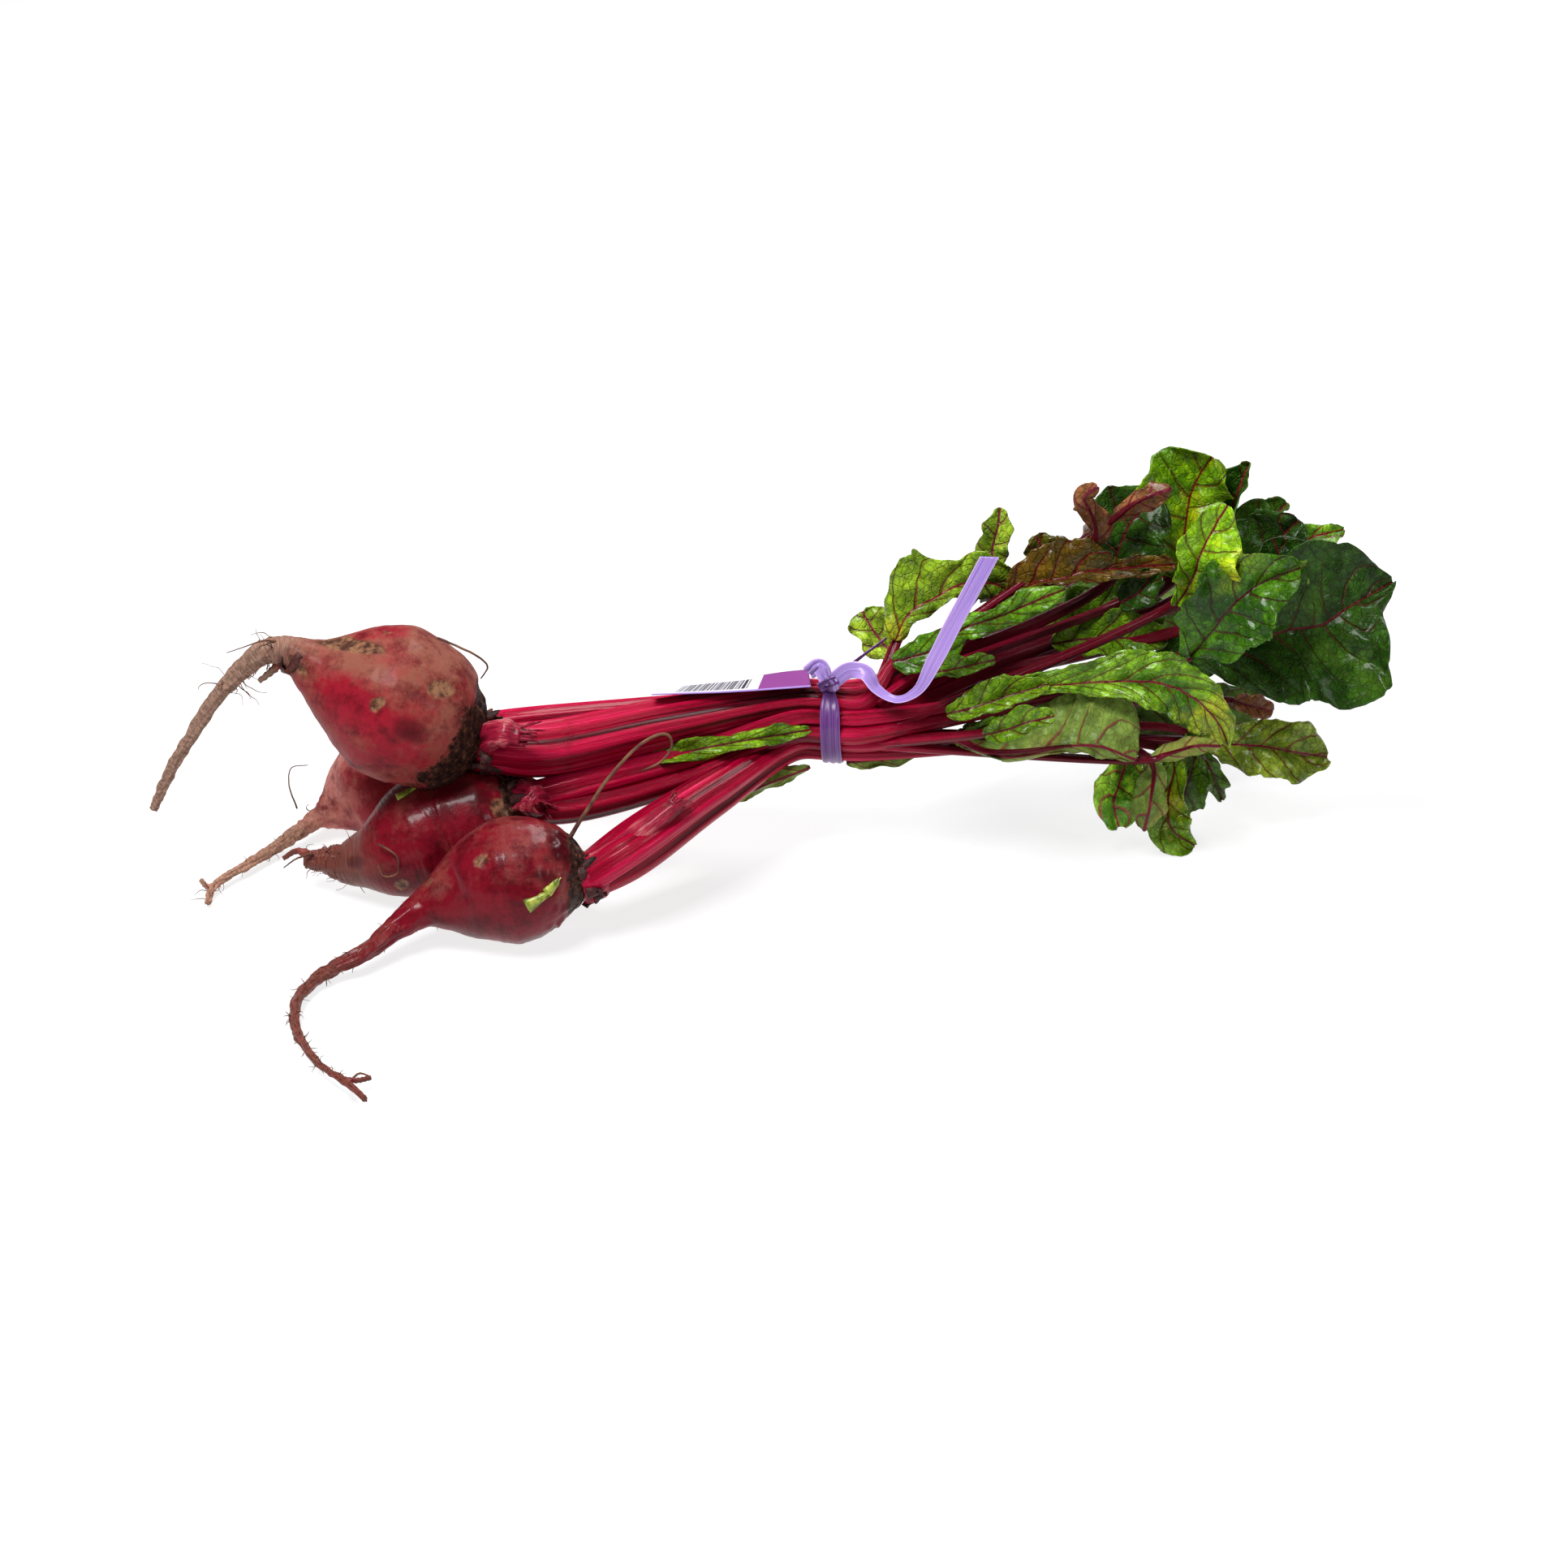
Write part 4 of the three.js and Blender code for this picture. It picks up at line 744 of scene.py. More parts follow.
    "under_right": ("front", 2, "loose", "pale", [2, 3.5, 3.5, 1], [2, 3.5, 3.5, 1], (14, 14), (20, 20), 1,
        [[23, 8, 56, 170], [34, 9, 57, 170], [46, 12, 58, 170], [59, 16, 60, 170]]),
}
leafPlan = {name: dict(zip(leafKeys, row)) for name, row in leafRows.items()}


# Frames along a rib: place, along, across to the right half, out of the upper face
def ribFrames(rib, share):
    centres, turns = lineOf(rib)
    place = runThrough(centres)
    turn = np.radians(runThrough(turns)(share)[:, 0])[:, None]
    along = unit(place(share + 0.02) - place(share - 0.02))
    side = unit(np.cross(along, towardsEye))
    up = unit(np.cross(side, along))
    normal = up * np.cos(turn) + side * np.sin(turn)
    across = side * np.cos(turn) - up * np.sin(turn)
    return place(share), along, across, normal


def underRib(leaf, share, radius):
    middle, along, across, normal = [part[0] for part in ribFrames(leaf["rib"], np.array([share]))]
    steepest = max(0, -min(leaf["fold"]))
    drop = (radius + stalkPlan["gap"] + 0.25) / math.cos(math.radians(steepest)) + stalkPlan["blade"] / 2
    return middle - normal * drop


def tiePoint(slot, past, spread):
    x, y, z = tiePlan["centre"]
    return np.array([x + past, y + slot[0] * spread, z + slot[1] * spread])


def crownLean(crown):
    lean = unit(np.array(crown["lean"], dtype=float))
    pull = unit(np.array(tiePlan["centre"]) - seen(*crown["at"]))
    return unit(lean + 1.6 * pull)


# Centre line and radii of the stalk of one leaf
def stalkRun(leaf):
    crown = crownPlan[leaf["root"]]
    slot = crown["slots"][leaf["slot"]]
    if leaf["kind"] == "branch":
        ribFoot = stalkPlan["ribFoot"] * stalkPlan["branch"]
        centres = [tiePoint(slot, 16 if leaf["slot"] == 0 else 18, 1.04)]
        radii = [2.2]
    else:
        ribFoot = stalkPlan["ribFoot"]
        foot = seen(*crown["at"])
        lean = crownLean(crown)
        middle = np.array([[0, *s] for s in crown["slots"]]).mean(axis=0)
        spread = (np.array([0, *slot]) - middle) * 0.75
        near = foot + 20 * lean + crown["fan"] * spread
        half = 0.5 * (near + tiePoint(slot, -12, 1)) + 0.15 * spread + np.array([0, 0, crown["rise"]])
        centres = [foot - 4 * lean + 0.9 * spread, near, half,
                   tiePoint(slot, -12, 1), tiePoint(slot, 0, 1), tiePoint(slot, 14, 1.02)]
        wide, tied = stalkPlan["foot"], stalkPlan["tie"]
        radii = [wide, wide, wide * 0.84, tied + 0.1, tied, tied]
    tip = stalkPlan["ribTip"]
    centres += [underRib(leaf, 0.02, ribFoot + 0.5), underRib(leaf, 0.3, ribFoot), underRib(leaf, 0.62, tip)]
    radii += [ribFoot + 0.4, ribFoot - 0.2, tip]
    return centres, radii


# Glossy stalk with pink streaks on its ridges as painted highlights, nearly black grooves as painted shade, and
# painted shade darkening it towards the leaves
def stalkMaterial(name, deep, bright, highlightPink, spots):
    material, tree, shader = newMaterial(name, 0.26, 0.14, 0.08, 0.08)
    streaks = speckle(uvSpot(tree, (13, 2.4, 1)), 2.2, 4, 0.55)
    fine = speckle(uvSpot(tree, (52, 4, 1)), 2, 3, 0.55)
    cloud = speckle(objectSpot(tree), 46, 5, 0.65)
    ridge = node(tree, "ShaderNodeAttribute", attribute_name="ridge").outputs["Fac"]
    # Streaky tone, lighter on the ridges as painted light
    tone = scaled(streaks, 0.9, scaled(ridge, 0.5, -0.25))
    colour = blend(ramp(tone, (0.30, 0), (0.66, 1)), deep, bright)
    # Painted highlight: pink streaks along the ridges
    paintedHighlight = scaled(fine, 0.8, scaled(ridge, 0.45, -0.20))
    colour = blend(ramp(paintedHighlight, (0.56, 0), (0.70, 0.7)), colour, highlightPink)
    colour = blend(ramp(cloud, (0.58, 0), (0.72, 0.8)), colour, spots)
    # Painted shade: grooves nearly black
    colour = blend(ramp(ridge, (0.12, 0.92), (0.46, 0)), colour, dimmed(deep, 0.25))
    # Painted shade: darker to the right of the tie, where the stalks run under the leaves
    far = split(objectSpot(tree, (10, 10, 10)))["X"]
    feed(shader.inputs["Base Color"], blend(ramp(far, (0.25, 0), (0.85, 0.78)), colour, dimmed(deep, 0.4)))
    feed(shader.inputs["Roughness"], scaled(cloud, 0.22, 0.13))
    relief(shader, plus(streaks, times(fine, 0.7)), 0.6, 0.0008)
    return material


stalkCrimson = stalkMaterial("stalkCrimson", (0.12, 0.0006, 0.009), (0.38, 0.0005, 0.026), (0.58, 0.010, 0.080),
                             (0.07, 0.0015, 0.007))
stalkTorn = stalkMaterial("stalkTorn", (0.13, 0.004, 0.014), (0.34, 0.010, 0.04), (0.52, 0.16, 0.16),
                          (0.25, 0.09, 0.06))


# Ridges, a groove and slow waists of a stalk, by its order
def ridged(order):
    def shape(turn, v):
        drift = 1.5 * v + 0.5 * np.sin(3 * v + order)
        ribs = 0.10 * np.cos(3 * turn + order + drift) + 0.045 * np.cos(8 * turn + 2.1 * order - 2 * v)
        fine = 0.02 * np.cos(17 * turn + 4 * v + order)
        keel = -0.16 * np.maximum(0, np.cos(turn + 0.6 * order)) ** 6
        waist = 0.02 * np.sin(23 * v + order) + 0.03 * np.sin(9 * v + 2 * order)
        foot = 0.07 * np.clip(1.4 - 3.5 * v, 0, 1)
        swell = 0.12 * np.exp(-((v - 0.62) / 0.12) ** 2)
        return 1.02 + foot + swell + (ribs + fine + keel) * np.clip(1.3 - v, 0.3, 1) + waist
    return shape


# Short neck between a crown and its stalks
def crownNeck(name):
    crown, neck = crownPlan[name], stalkPlan["neck"]
    foot, lean = seen(*crown["at"]), crownLean(crown)
    centres = [foot + lean * along for along in neck["along"]]
    return rolledTube("neck" + name.capitalize(), centres, neck["radii"], neck["rings"], neck["sides"], ridged(3))


# Broken stalk with its torn fibres
def brokenStalk(line, order):
    torn = stalkPlan["torn"]
    centres, radii = lineOf(line)
    made = [rolledTube("stub", centres, radii, torn["rings"], torn["sides"], ridged(order + 5))]
    rule = random.Random(order + 60)
    longs, wides = torn["size"]
    tip, ahead = centres[-1], unit(centres[-1] - centres[-2])
    for out in roundAbout(ahead, torn["fibres"], 0.3, rule):
        start = tip + out * radii[-1] * rule.uniform(0.45, 0.95) - ahead * 2.5
        fibre = flap("fibre", start, unit(ahead + out * rule.uniform(-0.25, 0.3)), out,
                     rule.uniform(*longs), rule.uniform(*wides), rule, rule.uniform(-0.1, 0.2))
        storeValues(fibre, "ridge", torn["ridge"])
        made.append(fibre)
    return made


for place, name in enumerate(crownPlan):
    made = [crownNeck(name)]
    for order, leaf in enumerate(leafPlan.values()):
        if leaf["root"] == name and leaf["kind"] != "loose":
            rings = stalkPlan["branchRings" if leaf["kind"] == "branch" else "rings"]
            made.append(rolledTube("stalk", *stalkRun(leaf), rings, stalkPlan["sides"], ridged(order)))
    for piece in made:
        piece.data.materials.append(stalkCrimson)
    if name in stubPlan:
        torn = brokenStalk(stubPlan[name], place)
        for piece in torn:
            piece.data.materials.append(stalkTorn)
        made += torn
    finished(joined("stalks" + name.capitalize(), made), "stalk", "stalks_" + name)
print("stalks done")

# Leaf blades: sizes in millimetres, and each waviness as height and width of its swells. For single
# leaves also shift in millimetres, calm of the margin, and a colour factor that holds the leaf's own tone
# mixed with painted light and shade: leaves at the back and inside the head are darkened as painted shade,
# and leaves such as droop_left, low_right and the fingers are brightened as painted light
leafLook = {"cell": 1.0, "quickCell": 1.7, "thick": 0.5, "veinEvery": 11, "pillow": 1.7, "ruffle": 0.8,
    "trough": (0.6, 1.8), "waves": ((1.6, 11, 0.5), (1.9, 24, 60.5), (0.75, 4.6, 20.5)),
    "shift": {"strip": (0, -2, 1.2), "under_left": (-1.5, -0.5, 3)},
    "calm": {"right_big": 0.4, "front_wide": 0.6, "back_wide": 0.5, "top_leaf": 0.8, "low_right": 0.8},
    "tone": {"front_wide": (0.55, 0.75, 0.6), "left_round": (1.9, 1.5, 1.5), "top_leaf": (1.15, 1.2, 0.35),
        "droop_left": (4.4, 3.8, 5.5), "long_front": (1.65, 1.55, 1.5), "ribbon_side": (0.9, 1.05, 0.7),
        "low_right": (2.0, 1.3, 2.2), "droop_tip": (1.1, 1.1, 0.6), "back_wide": (0.5, 0.6, 0.5),
        "back_low": (0.4, 0.5, 0.4), "back_left": (0.4, 0.5, 0.4), "behind_mid": (0.45, 0.55, 0.5),
        "inner_lime": (0.5, 0.6, 0.6), "right_tag": (0.5, 0.55, 0.6), "mid_right": (0.7, 0.8, 0.6),
        "blistered": (1.65, 1.7, 1.1), "far_left": (2.2, 1.7, 4), "upright": (2.2, 1.7, 4),
        "finger_one": (2.2, 2.4, 2), "finger_two": (2, 1.8, 1.8), "back_right": (1.7, 1.6, 1.2),
        "red_rib": (0.95, 0.6, 0.8)}}


def ribLength(leaf):
    spots = runThrough(lineOf(leaf["rib"])[0])(np.linspace(0, 1, 40))
    return float(np.linalg.norm(np.diff(spots, axis=0), axis=1).sum())


# Places of a blade's points: lobed, waved and bitten margin, pillows raised between the side veins;
# with them the phase of the veins, and how far each point lies off the rib
def bladeSpots(leaf, order, u, v, row, rows, calm):
    middle, along, across, normal = [part[row] for part in ribFrames(leaf["rib"], np.linspace(0, 1, rows + 1))]
    half = (u > 0.5).astype(int)
    q = np.abs(u - 0.5) * 2
    length = ribLength(leaf)
    down = v * length
    widest = max(leaf["left"] + leaf["right"])
    widths = np.where(half == 0, runThrough(leaf["left"])(v)[:, 0], runThrough(leaf["right"])(v)[:, 0])
    folds, curls = [np.array(leaf[key], dtype=float)[half] for key in ("fold", "curl")]
    blunt = np.clip(np.minimum(v / 0.05, (1 - v) / 0.04), 0, 1) ** 0.5
    lobe = 1 + 0.09 * np.sin(17 * v + order * 2 + half * 1.4)
    margin = np.stack([down / 4.2, half * 7.3 + order], axis=1)
    jag = calm * (0.10 * wandering(margin, 1.5) + 0.07 * wandering(margin * 2.3, 4.5))
    bite = 0.55 * calm * np.clip(wandering(margin * 0.42, 8.5) - 0.22, 0, 1)
    reach = np.maximum(widths, 1) * (lobe + (jag - bite) * q ** 2)
    waving = (reach / widest) ** 0.5
    reach = reach * (0.45 + 0.55 * blunt)
    bend = np.radians(folds + curls * q * 0.5)
    wave = leaf["wave"] * q * q * waving * np.sin(15 * v + order * 1.7 + half * 2.2)
    ruffle = leafLook["ruffle"] * leaf["wave"] * q ** 4 * np.sin(0.42 * down + order + half * 1.9 + 1.6 * jag / 0.1)
    off = q * np.sign(u - 0.5) * reach
    flat = np.stack([off, down], axis=1)
    crumple = sum(high * wandering(flat / wide, order + seed) for high, wide, seed in leafLook["waves"])
    sway = 0.22 * wandering(flat / 16, order + 40.5)
    count = max(3, length / leafLook["veinEvery"])
    phase = count * (v - 0.16 * q - 0.05 * q * q) + 0.5 * half + 0.13 * order + sway
    pillow = np.abs(np.sin(math.pi * phase)) ** 0.7 * np.sin(math.pi * np.clip(q * 0.92 + 0.04, 0, 1)) ** 0.7
    lifted = leafLook["pillow"] * (pillow - 0.5) + crumple * 1.4 * np.clip(q * 2.5, 0, 1)
    strength = np.clip(reach * 0.09, 0.25, 1)
    rise = 0.8 * reach * q * np.tan(bend) + wave + ruffle + lifted * strength * (0.4 + 0.6 * calm)
    deep, wide = leafLook["trough"]
    trough = -deep * np.exp(-(q * widths / wide) ** 2)
    return middle + across * off[:, None] + normal * (rise + trough)[:, None], phase, off


# Upper face and underside of a blade, with veins from the blade's own map
def leafMaterial(name, deep, light, edge, vein, veinShare, rough, coat=0.26, bumps=(0.75, 0.0014)):
    material, tree, shader = newMaterial(name, rough, coat, 0.14, 0.10)
    spot = objectSpot(tree)
    veins = split(uvSpot(tree, layer="veins"))
    away = absolute(veins["Y"])
    phase = plus(veins["X"], times(minus(speckle(spot, 95, 3), 0.5), 0.34))

    def lines(turns, wide):
        apart = absolute(minus(sums("FRACT", scaled(phase, turns, 0.5)), 0.5))
        return ramp(scaled(away, 0.0032 * turns, apart), (wide * 0.35, 1), (wide, 0))
    lateral = lines(1, 0.085)
    forks = times(lines(2, 0.13), ramp(times(away, 0.06), (0.25, 0), (0.6, 0.7)))
    rib = ramp(times(away, 0.1), (0.025, 1), (0.075, 0))
    net = node(tree, "ShaderNodeTexVoronoi", feature="DISTANCE_TO_EDGE", Scale=330)
    cloud = node(tree, "ShaderNodeTexNoise", Scale=80)
    feed(cloud.inputs["Vector"], spot)
    feed(net.inputs["Vector"], blend(0.006, spot, cloud.outputs["Color"], "ADD"))
    fine = ramp(net.outputs["Distance"], (0.02, 0.55), (0.10, 0))
    green = blend(ramp(speckle(spot, 34, 6, 0.68), (0.38, 0), (0.60, 1)), deep, light)
    # Random dark patches of painted shade and light patches of painted light, standing in for the shading of crumples
    green = blend(ramp(speckle(spot, 190, 4, 0.65), (0.42, 0.55), (0.58, 0)), green, dimmed(deep, 0.45))
    green = blend(ramp(speckle(spot, 120, 4, 0.65), (0.54, 0), (0.68, 0.6)), green, dimmed(light, 1.45))
    green = blend(ramp(speckle(spot, 21, 4, 0.65), (0.59, 0), (0.70, 0.8)), green, edge)
    green = blend(times(fine, veinShare * 0.5), green, tuple(0.5 * (a + b) for a, b in zip(deep, vein)))
    green = blend(times(forks, veinShare * 0.8), green, vein)
    green = blend(times(lateral, veinShare), green, vein)
    green = blend(rib, green, dimmed(vein, 0.9))
    # Per-leaf colour factor: the leaf's own tone mixed with painted light and painted shade
    tone = node(tree, "ShaderNodeAttribute", attribute_name="tone").outputs["Color"]
    feed(shader.inputs["Base Color"], blend(1.0, green, tone, "MULTIPLY"))
    low = plus(times(fine, 0.8), plus(lateral, times(forks, 0.6)))
    relief(shader, minus(times(speckle(spot, 150, 4, 0.6), 2.0), low), *bumps)
    return material


wine = (0.12, 0.006, 0.016)
leafShades = {
    "leaf": leafMaterial("leafGreen", (0.030, 0.105, 0.004), (0.16, 0.33, 0.014), (0.34, 0.38, 0.02),
                         wine, 0.75, 0.27),
    "dark": leafMaterial("leafDark", (0.007, 0.034, 0.002), (0.031, 0.098, 0.006), (0.07, 0.17, 0.010),
                         wine, 0.5, 0.28, coat=0.14),
    "lime": leafMaterial("leafLime", (0.055, 0.15, 0.003), (0.23, 0.42, 0.012), (0.46, 0.42, 0.02),
                         wine, 0.65, 0.25),
    "pale": leafMaterial("leafPale", (0.10, 0.16, 0.020), (0.22, 0.30, 0.055), (0.30, 0.28, 0.05),
                         wine, 0.6, 0.32),
    "rust": leafMaterial("leafRust", (0.045, 0.060, 0.003), (0.16, 0.14, 0.006), (0.44, 0.09, 0.008),
                         (0.15, 0.003, 0.014), 1.0, 0.27),
    "dry": leafMaterial("leafDry", (0.15, 0.07, 0.018), (0.36, 0.13, 0.05), (0.56, 0.26, 0.14),
                        (0.18, 0.008, 0.03), 0.9, 0.30),
}
leafUnder = leafMaterial("leafUnder", (0.10, 0.17, 0.022), (0.21, 0.31, 0.055), (0.32, 0.30, 0.06),
                         (0.16, 0.008, 0.025), 0.8, 0.36, coat=0.03, bumps=(0.5, -0.0009))

# Ruffled edges of blade along the stalks, each joined to the named leaf; laid out as the leaves are
ruffleRows = {
    "lime_torn": [
        ("lime", [2, 6, 7.5, 6, 2], [2, 5, 5, 5, 2], (20, 20), (30, 30), 2.2,
         [[60, 26, 46, -20], [72, 29, 47, -16], [84, 33, 48, -14], [98, 37, 49, -10]]),
        ("leaf", [2, 4, 5, 2], [2, 4, 4, 2], (20, 20), (20, 20), 1.4,
         [[66, 20, 51, -14], [78, 20, 52, -10], [92, 22, 53, -8]])],
    "ribbon_side": [("leaf", [1.5, 4, 4, 1.5], [1.5, 4, 4, 1.5], (20, 20), (20, 20), 1.6,
         [[54, 41, 50, -20], [65, 43, 51, -18], [78, 46, 53, -16]])],
    "back_low": [("dark", [5, 8, 8, 3], [5, 9, 9, 3], (12, 12), (20, 20), 1.8,
         [[134, 43, 92, -10], [146, 46, 93, -10], [157, 48, 94, -8], [167, 49, 95, 0]])],
}


def leafBlade(leafName, leaf, order):
    cell = leafLook["cell"]
    across = 2 * max(6, round(max(leaf["left"] + leaf["right"]) / cell))
    along = max(16, round(ribLength(leaf) * 1.1 / cell))
    held = {}

    def puts(u, v, row):
        spots, phase, off = bladeSpots(leaf, order, u, v, row, along, leafLook["calm"].get(leafName, 1))
        held["veins"] = np.stack([phase, off], axis=1)
        spots = spots + np.array(leafLook["shift"].get(leafName, (0, 0, 0)))
        spots[:, 2] = np.maximum(spots[:, 2], origin[2] + leafLook["thick"])
        return spots

    title = "leaf" + "".join(word.capitalize() for word in leafName.split("_"))
    blade = shapedGrid(title, across, along, puts)
    corners = np.empty(len(blade.data.loops), dtype=int)
    blade.data.loops.foreach_get("vertex_index", corners)
    blade.data.uv_layers.new(name="veins").data.foreach_set("uv", held["veins"][corners].ravel())
    # Colour factor holding the leaf's own tone and its painted light and shade
    storeColours(blade, "tone", (*leafLook["tone"].get(leafName, (1, 1, 1)), 1))
    facing = np.array(blade.data.polygons[len(blade.data.polygons) // 2].normal)
    if facing @ ribFrames(leaf["rib"], np.array([0.5]))[3][0] < 0:
        inEditMode(blade, bpy.ops.mesh.flip_normals)
    blade.data.materials.append(leafShades[leaf["colour"]])
    blade.data.materials.append(leafShades["dry"] if leaf["colour"] == "dry" else leafUnder)
    return thickened(blade, leafLook["thick"])


for order, (leafName, leaf) in enumerate(leafPlan.items()):
    made = [leafBlade(leafName, leaf, order)]
    for index, ruffle in enumerate(ruffleRows.get(leafName, [])):
        made.append(leafBlade("ruffle", dict(zip(leafKeys[3:], ruffle)), order + 50 + index))
    finished(joined(made[0].name, made), "leaf_" + leaf["colour"], "leaf_" + leafName)
print("leaves done")

# Ribbon tie and its tails, points as right, up, depth, turn; folds of the knot as tilt, width, length
ribbonPlan = {"thick": 0.25, "cup": 0.5, "columns": 12,
    "broadTail": [[16, 36, 57, 20], [24, 42, 55, 10], [30, 41, 52, -20], [34, 35, 49, -52], [41, 31, 46, -66],
        [49, 34, 43, -58], [56, 46, 43, -24], [62, 58, 45, -6], [69, 71, 48, 0], [76, 84, 51, 0]],
    "narrowTail": [[16, 37, 60, 60], [27, 46, 64, 62], [38, 54, 68, 60]],
    "gather": [[9, 41, 52, 20], [13, 43.5, 50, 0], [15.5, 39, 49, -30]],
    "knotOff": (0.6, -4.5, 17.2), "folds": ((0.5, 2.8, 4.4), (-0.9, 2.5, 4.0), (1.7, 2.1, 3.6)),
    "foldMesh": (40, 48)}


def ribbonMaterial(name, deep, light, streak, rough):
    material, tree, shader = newMaterial(name, rough, 0.3, 0.12, 0.2)
    streaks = speckle(uvSpot(tree, (20, 1.3, 1)), 2.0, 3, 0.5)
    colour = blend(ramp(streaks, (0.34, 0), (0.64, 1)), deep, light)
    thin = speckle(uvSpot(tree, (44, 1.1, 1)), 1.7, 2, 0.5)
    colour = blend(ramp(thin, (0.58, 0), (0.68, 0.8)), colour, streak)
    # Painted highlight: lighter colour along both edges of the ribbon
    edge = absolute(minus(split(uvSpot(tree))["X"], 0.5))
    paintedHighlight = tuple(min(1, c * 1.5 + 0.05) for c in light)
    feed(shader.inputs["Base Color"], blend(ramp(edge, (0.42, 0), (0.47, 0.7)), colour, paintedHighlight))
    relief(shader, streaks, 0.45, 0.0004)
    return material


lavender = ribbonMaterial("ribbonLavender", (0.22, 0.13, 0.46), (0.46, 0.31, 0.74), (0.66, 0.42, 0.70), 0.3)
purple = ribbonMaterial("ribbonPurple", (0.050, 0.010, 0.10), (0.15, 0.045, 0.22), (0.40, 0.24, 0.56), 0.3)


def ribbonSheet(strip, outside, inside):
    strip.data.materials.append(outside)
    strip.data.materials.append(inside)
    return thickened(strip, ribbonPlan["thick"])


def ribbonStrip(name, width, steps, outside, inside, cup=1.0, pleat=0.10, slant=0.0, taper=0.0):
    def puts(u, v, row):
        frames = ribFrames(ribbonPlan[name], np.linspace(0, 1, steps + 1))
        middle, along, across, normal = [part[row] for part in frames]
        off = (u - 0.5) * 2
        hollow = ribbonPlan["cup"] * cup * off ** 2 * np.sin(math.pi * v) + pleat * np.cos(9 * off + 2 * v)
        crease = 0.22 * wandering(np.stack([off * 0.8, v * steps / 9], axis=1), width)
        wide = width / 2 * (1 - taper * v)
        ends = slant * off * np.clip(v * 12 - 11, 0, 1)
        return middle + across * (off * wide)[:, None] + along * ends[:, None] + normal * (hollow + crease)[:, None]
    return ribbonSheet(shapedGrid(name, ribbonPlan["columns"], steps, puts), outside, inside)


def ribbonBand(name):
    x, y, z = tiePlan["centre"]

    def puts(u, v, row):
        turn = fullTurn * v
        off = (u - 0.5) * 2
        pleats = 0.22 * np.cos(9 * off + np.sin(turn)) + 0.12 * np.sin(7 * turn + 2 * off)
        reach = tiePlan["inner"] + 0.35 + pleats - 0.25 * off ** 2
        pinch = 1 - 0.5 * np.exp(-((turn - 0.25) / 0.4) ** 2)
        slide = 0.4 * np.sin(turn * 2 + 1) + 1.1 * (1 - np.cos(turn))
        return np.stack([x + slide + off * tiePlan["width"] / 2 * pinch, y - reach * np.sin(turn),
                         z + reach * np.cos(turn)], axis=1)
    band = shapedGrid(name, ribbonPlan["columns"], tiePlan["steps"], puts)

    def close():
        bpy.ops.mesh.remove_doubles(threshold=1e-5)
        bpy.ops.mesh.normals_make_consistent(inside=False)
    inEditMode(band, close)
    return ribbonSheet(band, purple, lavender)


# Knot: crossed folds of the ribbon pulled tight
def ribbonKnot(name):
    middle = np.array(tiePlan["centre"]) + np.array(ribbonPlan["knotOff"])
    folds = []
    for index, (tilt, wide, long) in enumerate(ribbonPlan["folds"]):
        ahead = np.array([math.cos(tilt), math.sin(tilt) * 0.6, math.sin(tilt) * 0.5])
        centres = [middle - ahead * long, middle + np.array([0, -0.6, 1.2 + 0.4 * index]), middle + ahead * long]
        fold = rolledTube("fold", centres, [wide * 0.75, wide, wide * 0.55], *ribbonPlan["foldMesh"],
                          lambda turn, v: 1 + 0.20 * np.cos(7 * turn + 3 * v) * np.sin(math.pi * v))
        fold.data.materials.append((purple, lavender, purple)[index])
        folds.append(fold)
    return joined(name, folds)


tie = joined("ribbonTie", [
    ribbonBand("ribbonBand"),
    ribbonStrip("broadTail", 6.4, 140, lavender, purple, slant=1.6),
    ribbonStrip("narrowTail", 3.4, 50, purple, lavender, 0.4, taper=0.55),
    ribbonStrip("gather", 6.0, 50, lavender, purple, 0.6, pleat=0.55),
    ribbonKnot("knot")])
finished(tie, "ribbon", "tie")
print("tie done")

# Label: white patch with plain bars, purple towards the tie; edges as right, up, depth
labelPlan = {"near": [[-49, 33, 50], [-20, 34, 51], [10, 36, 53]],
    "far": [[-44, 35.4, 66], [-16, 39.2, 67], [9, 42.2, 69]], "thick": 0.4, "columns": 20, "steps": 60,
    "barsAlong": (0.14, 0.60), "barsAcross": (0.16, 0.80), "purpleFrom": 0.67, "rim": 0.06}


def labelMaterial():
    material, tree, shader = newMaterial("labelCard", 0.35, 0.1, 0.2, 0.2)
    across, along = split(uvSpot(tree))[:2]
    bars = node(tree, "ShaderNodeTexNoise", noise_dimensions="1D", Scale=95, Detail=1.0)
    feed(bars.inputs["W"], along)

    def between(value, limits):
        return times(above(value, limits[0]), below(value, limits[1]))
    patch = times(between(along, labelPlan["barsAlong"]), between(across, labelPlan["barsAcross"]))
    shown = times(patch, ramp(bars.outputs["Fac"], (0.47, 0), (0.50, 1)))
    colour = blend(shown, (0.70, 0.68, 0.74), (0.012, 0.012, 0.02))
    colour = blend(above(along, labelPlan["purpleFrom"]), colour, (0.24, 0.05, 0.24))
    feed(shader.inputs["Base Color"], blend(below(across, labelPlan["rim"]), colour, (0.36, 0.22, 0.60)))
    relief(shader, speckle(objectSpot(tree), 90, 2), 0.15, 0.0006)
    return material


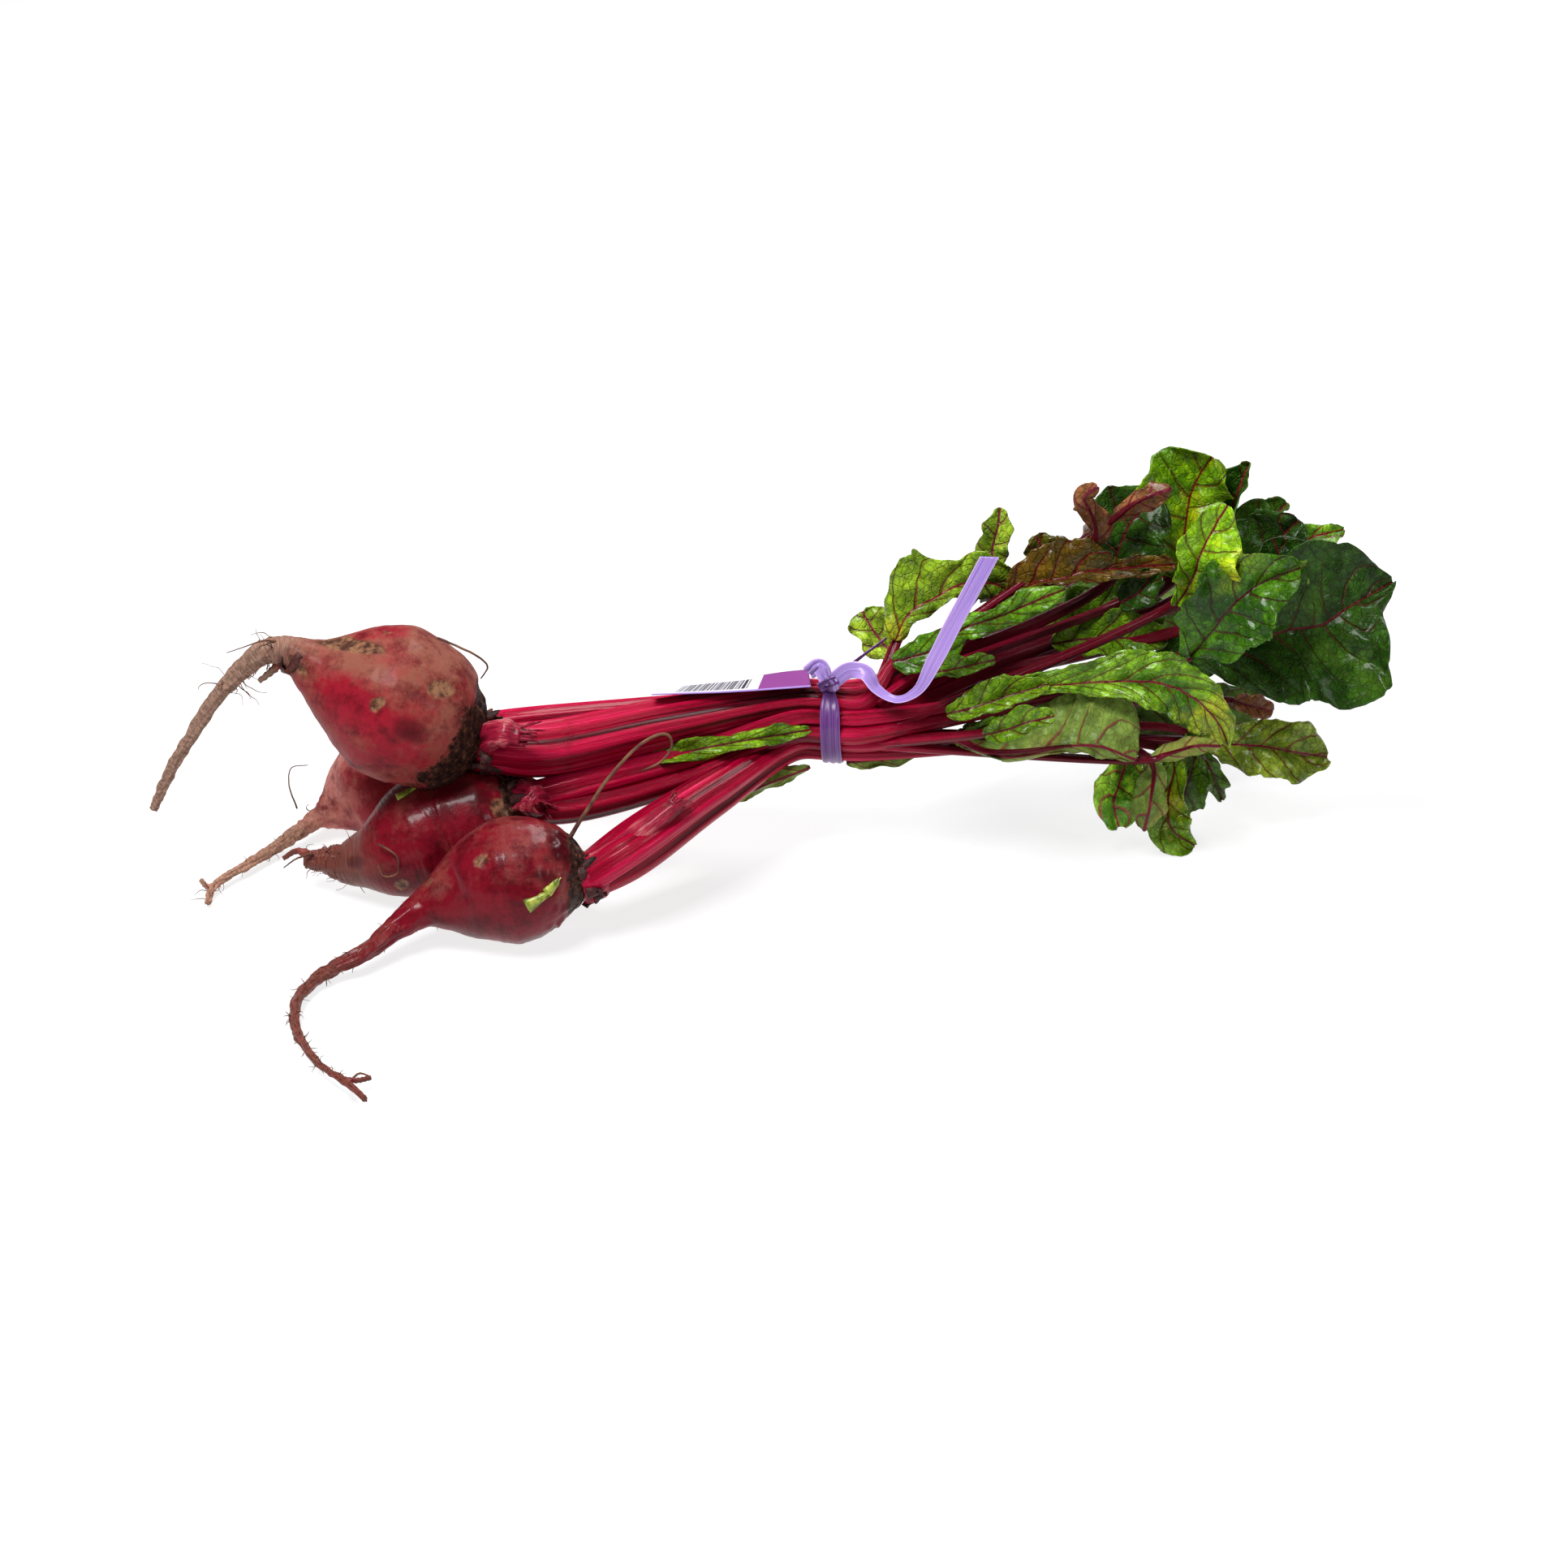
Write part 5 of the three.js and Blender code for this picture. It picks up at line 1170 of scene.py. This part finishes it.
def labelSpots(u, v, row):
    near, far = [runThrough([seen(*p) for p in labelPlan[edge]])(v) for edge in ("near", "far")]
    spots = near + (far - near) * u[:, None]
    spots[:, 2] += 0.25 * np.sin(math.pi * v * 3) * u
    return spots


label = shapedGrid("label", labelPlan["columns"], labelPlan["steps"], labelSpots)
label.data.materials.append(labelMaterial())
finished(thickened(label, labelPlan["thick"]), "label_card", "label")
print("label done")

# Camera, floor and light
cameraData = bpy.data.cameras.new("camera")
cameraData.lens = view["lens"]
cameraData.sensor_width = view["sensor"]
cameraData.clip_end = view["far"]
camera = bpy.data.objects.new("camera", cameraData)
bpy.context.collection.objects.link(camera)
camera.location = (eye - origin) / 1000
camera.rotation_euler = (math.radians(90) - lift, 0, 0)
bpy.context.scene.camera = camera

# Lights as name, place, aim, size and watts
studio = {"floor": (0.22, 0.22, 0.225), "glow": 0.80, "size": 14, "middle": (0, 3, 0), "world": 0.07,
    "lights": [("key", (-0.45, -0.45, 1.35), (0, 0, 0.05), 0.55, 26),
               ("back", (0.3, 0.9, 1.25), (0.05, 0, 0.05), 0.7, 17),
               ("fill", (1.2, -0.9, 0.9), (0.05, 0, 0.05), 0.5, 5)]}
deselectAll()
bpy.ops.mesh.primitive_plane_add(size=studio["size"], location=studio["middle"])
floor = bpy.context.object
floor.name = "floor"
floorMaterial, floorShader = newMaterial("floorPale", 0.75, 0, 0.5, 0.2)[::2]
floorShader.inputs["Base Color"].default_value = (*studio["floor"], 1)
floorShader.inputs["Emission Color"].default_value = (1, 1, 1, 1)
floorShader.inputs["Emission Strength"].default_value = studio["glow"]
floor.data.materials.append(floorMaterial)
for name, place, aim, size, power in studio["lights"]:
    deselectAll()
    bpy.ops.object.light_add(type="AREA", location=place)
    lamp = bpy.context.object
    lamp.name = name
    lamp.data.size = size
    lamp.data.energy = power
    lamp.rotation_euler = (Vector(aim) - Vector(place)).to_track_quat("-Z", "Y").to_euler()
world = bpy.data.worlds.new("studio")
bpy.context.scene.world = world
world.use_nodes = True
sky = world.node_tree.nodes["Background"]
sky.inputs["Color"].default_value = (1, 1, 1, 1)
sky.inputs["Strength"].default_value = studio["world"]
bpy.context.scene.view_settings.view_transform = "Standard"
print("studio done")
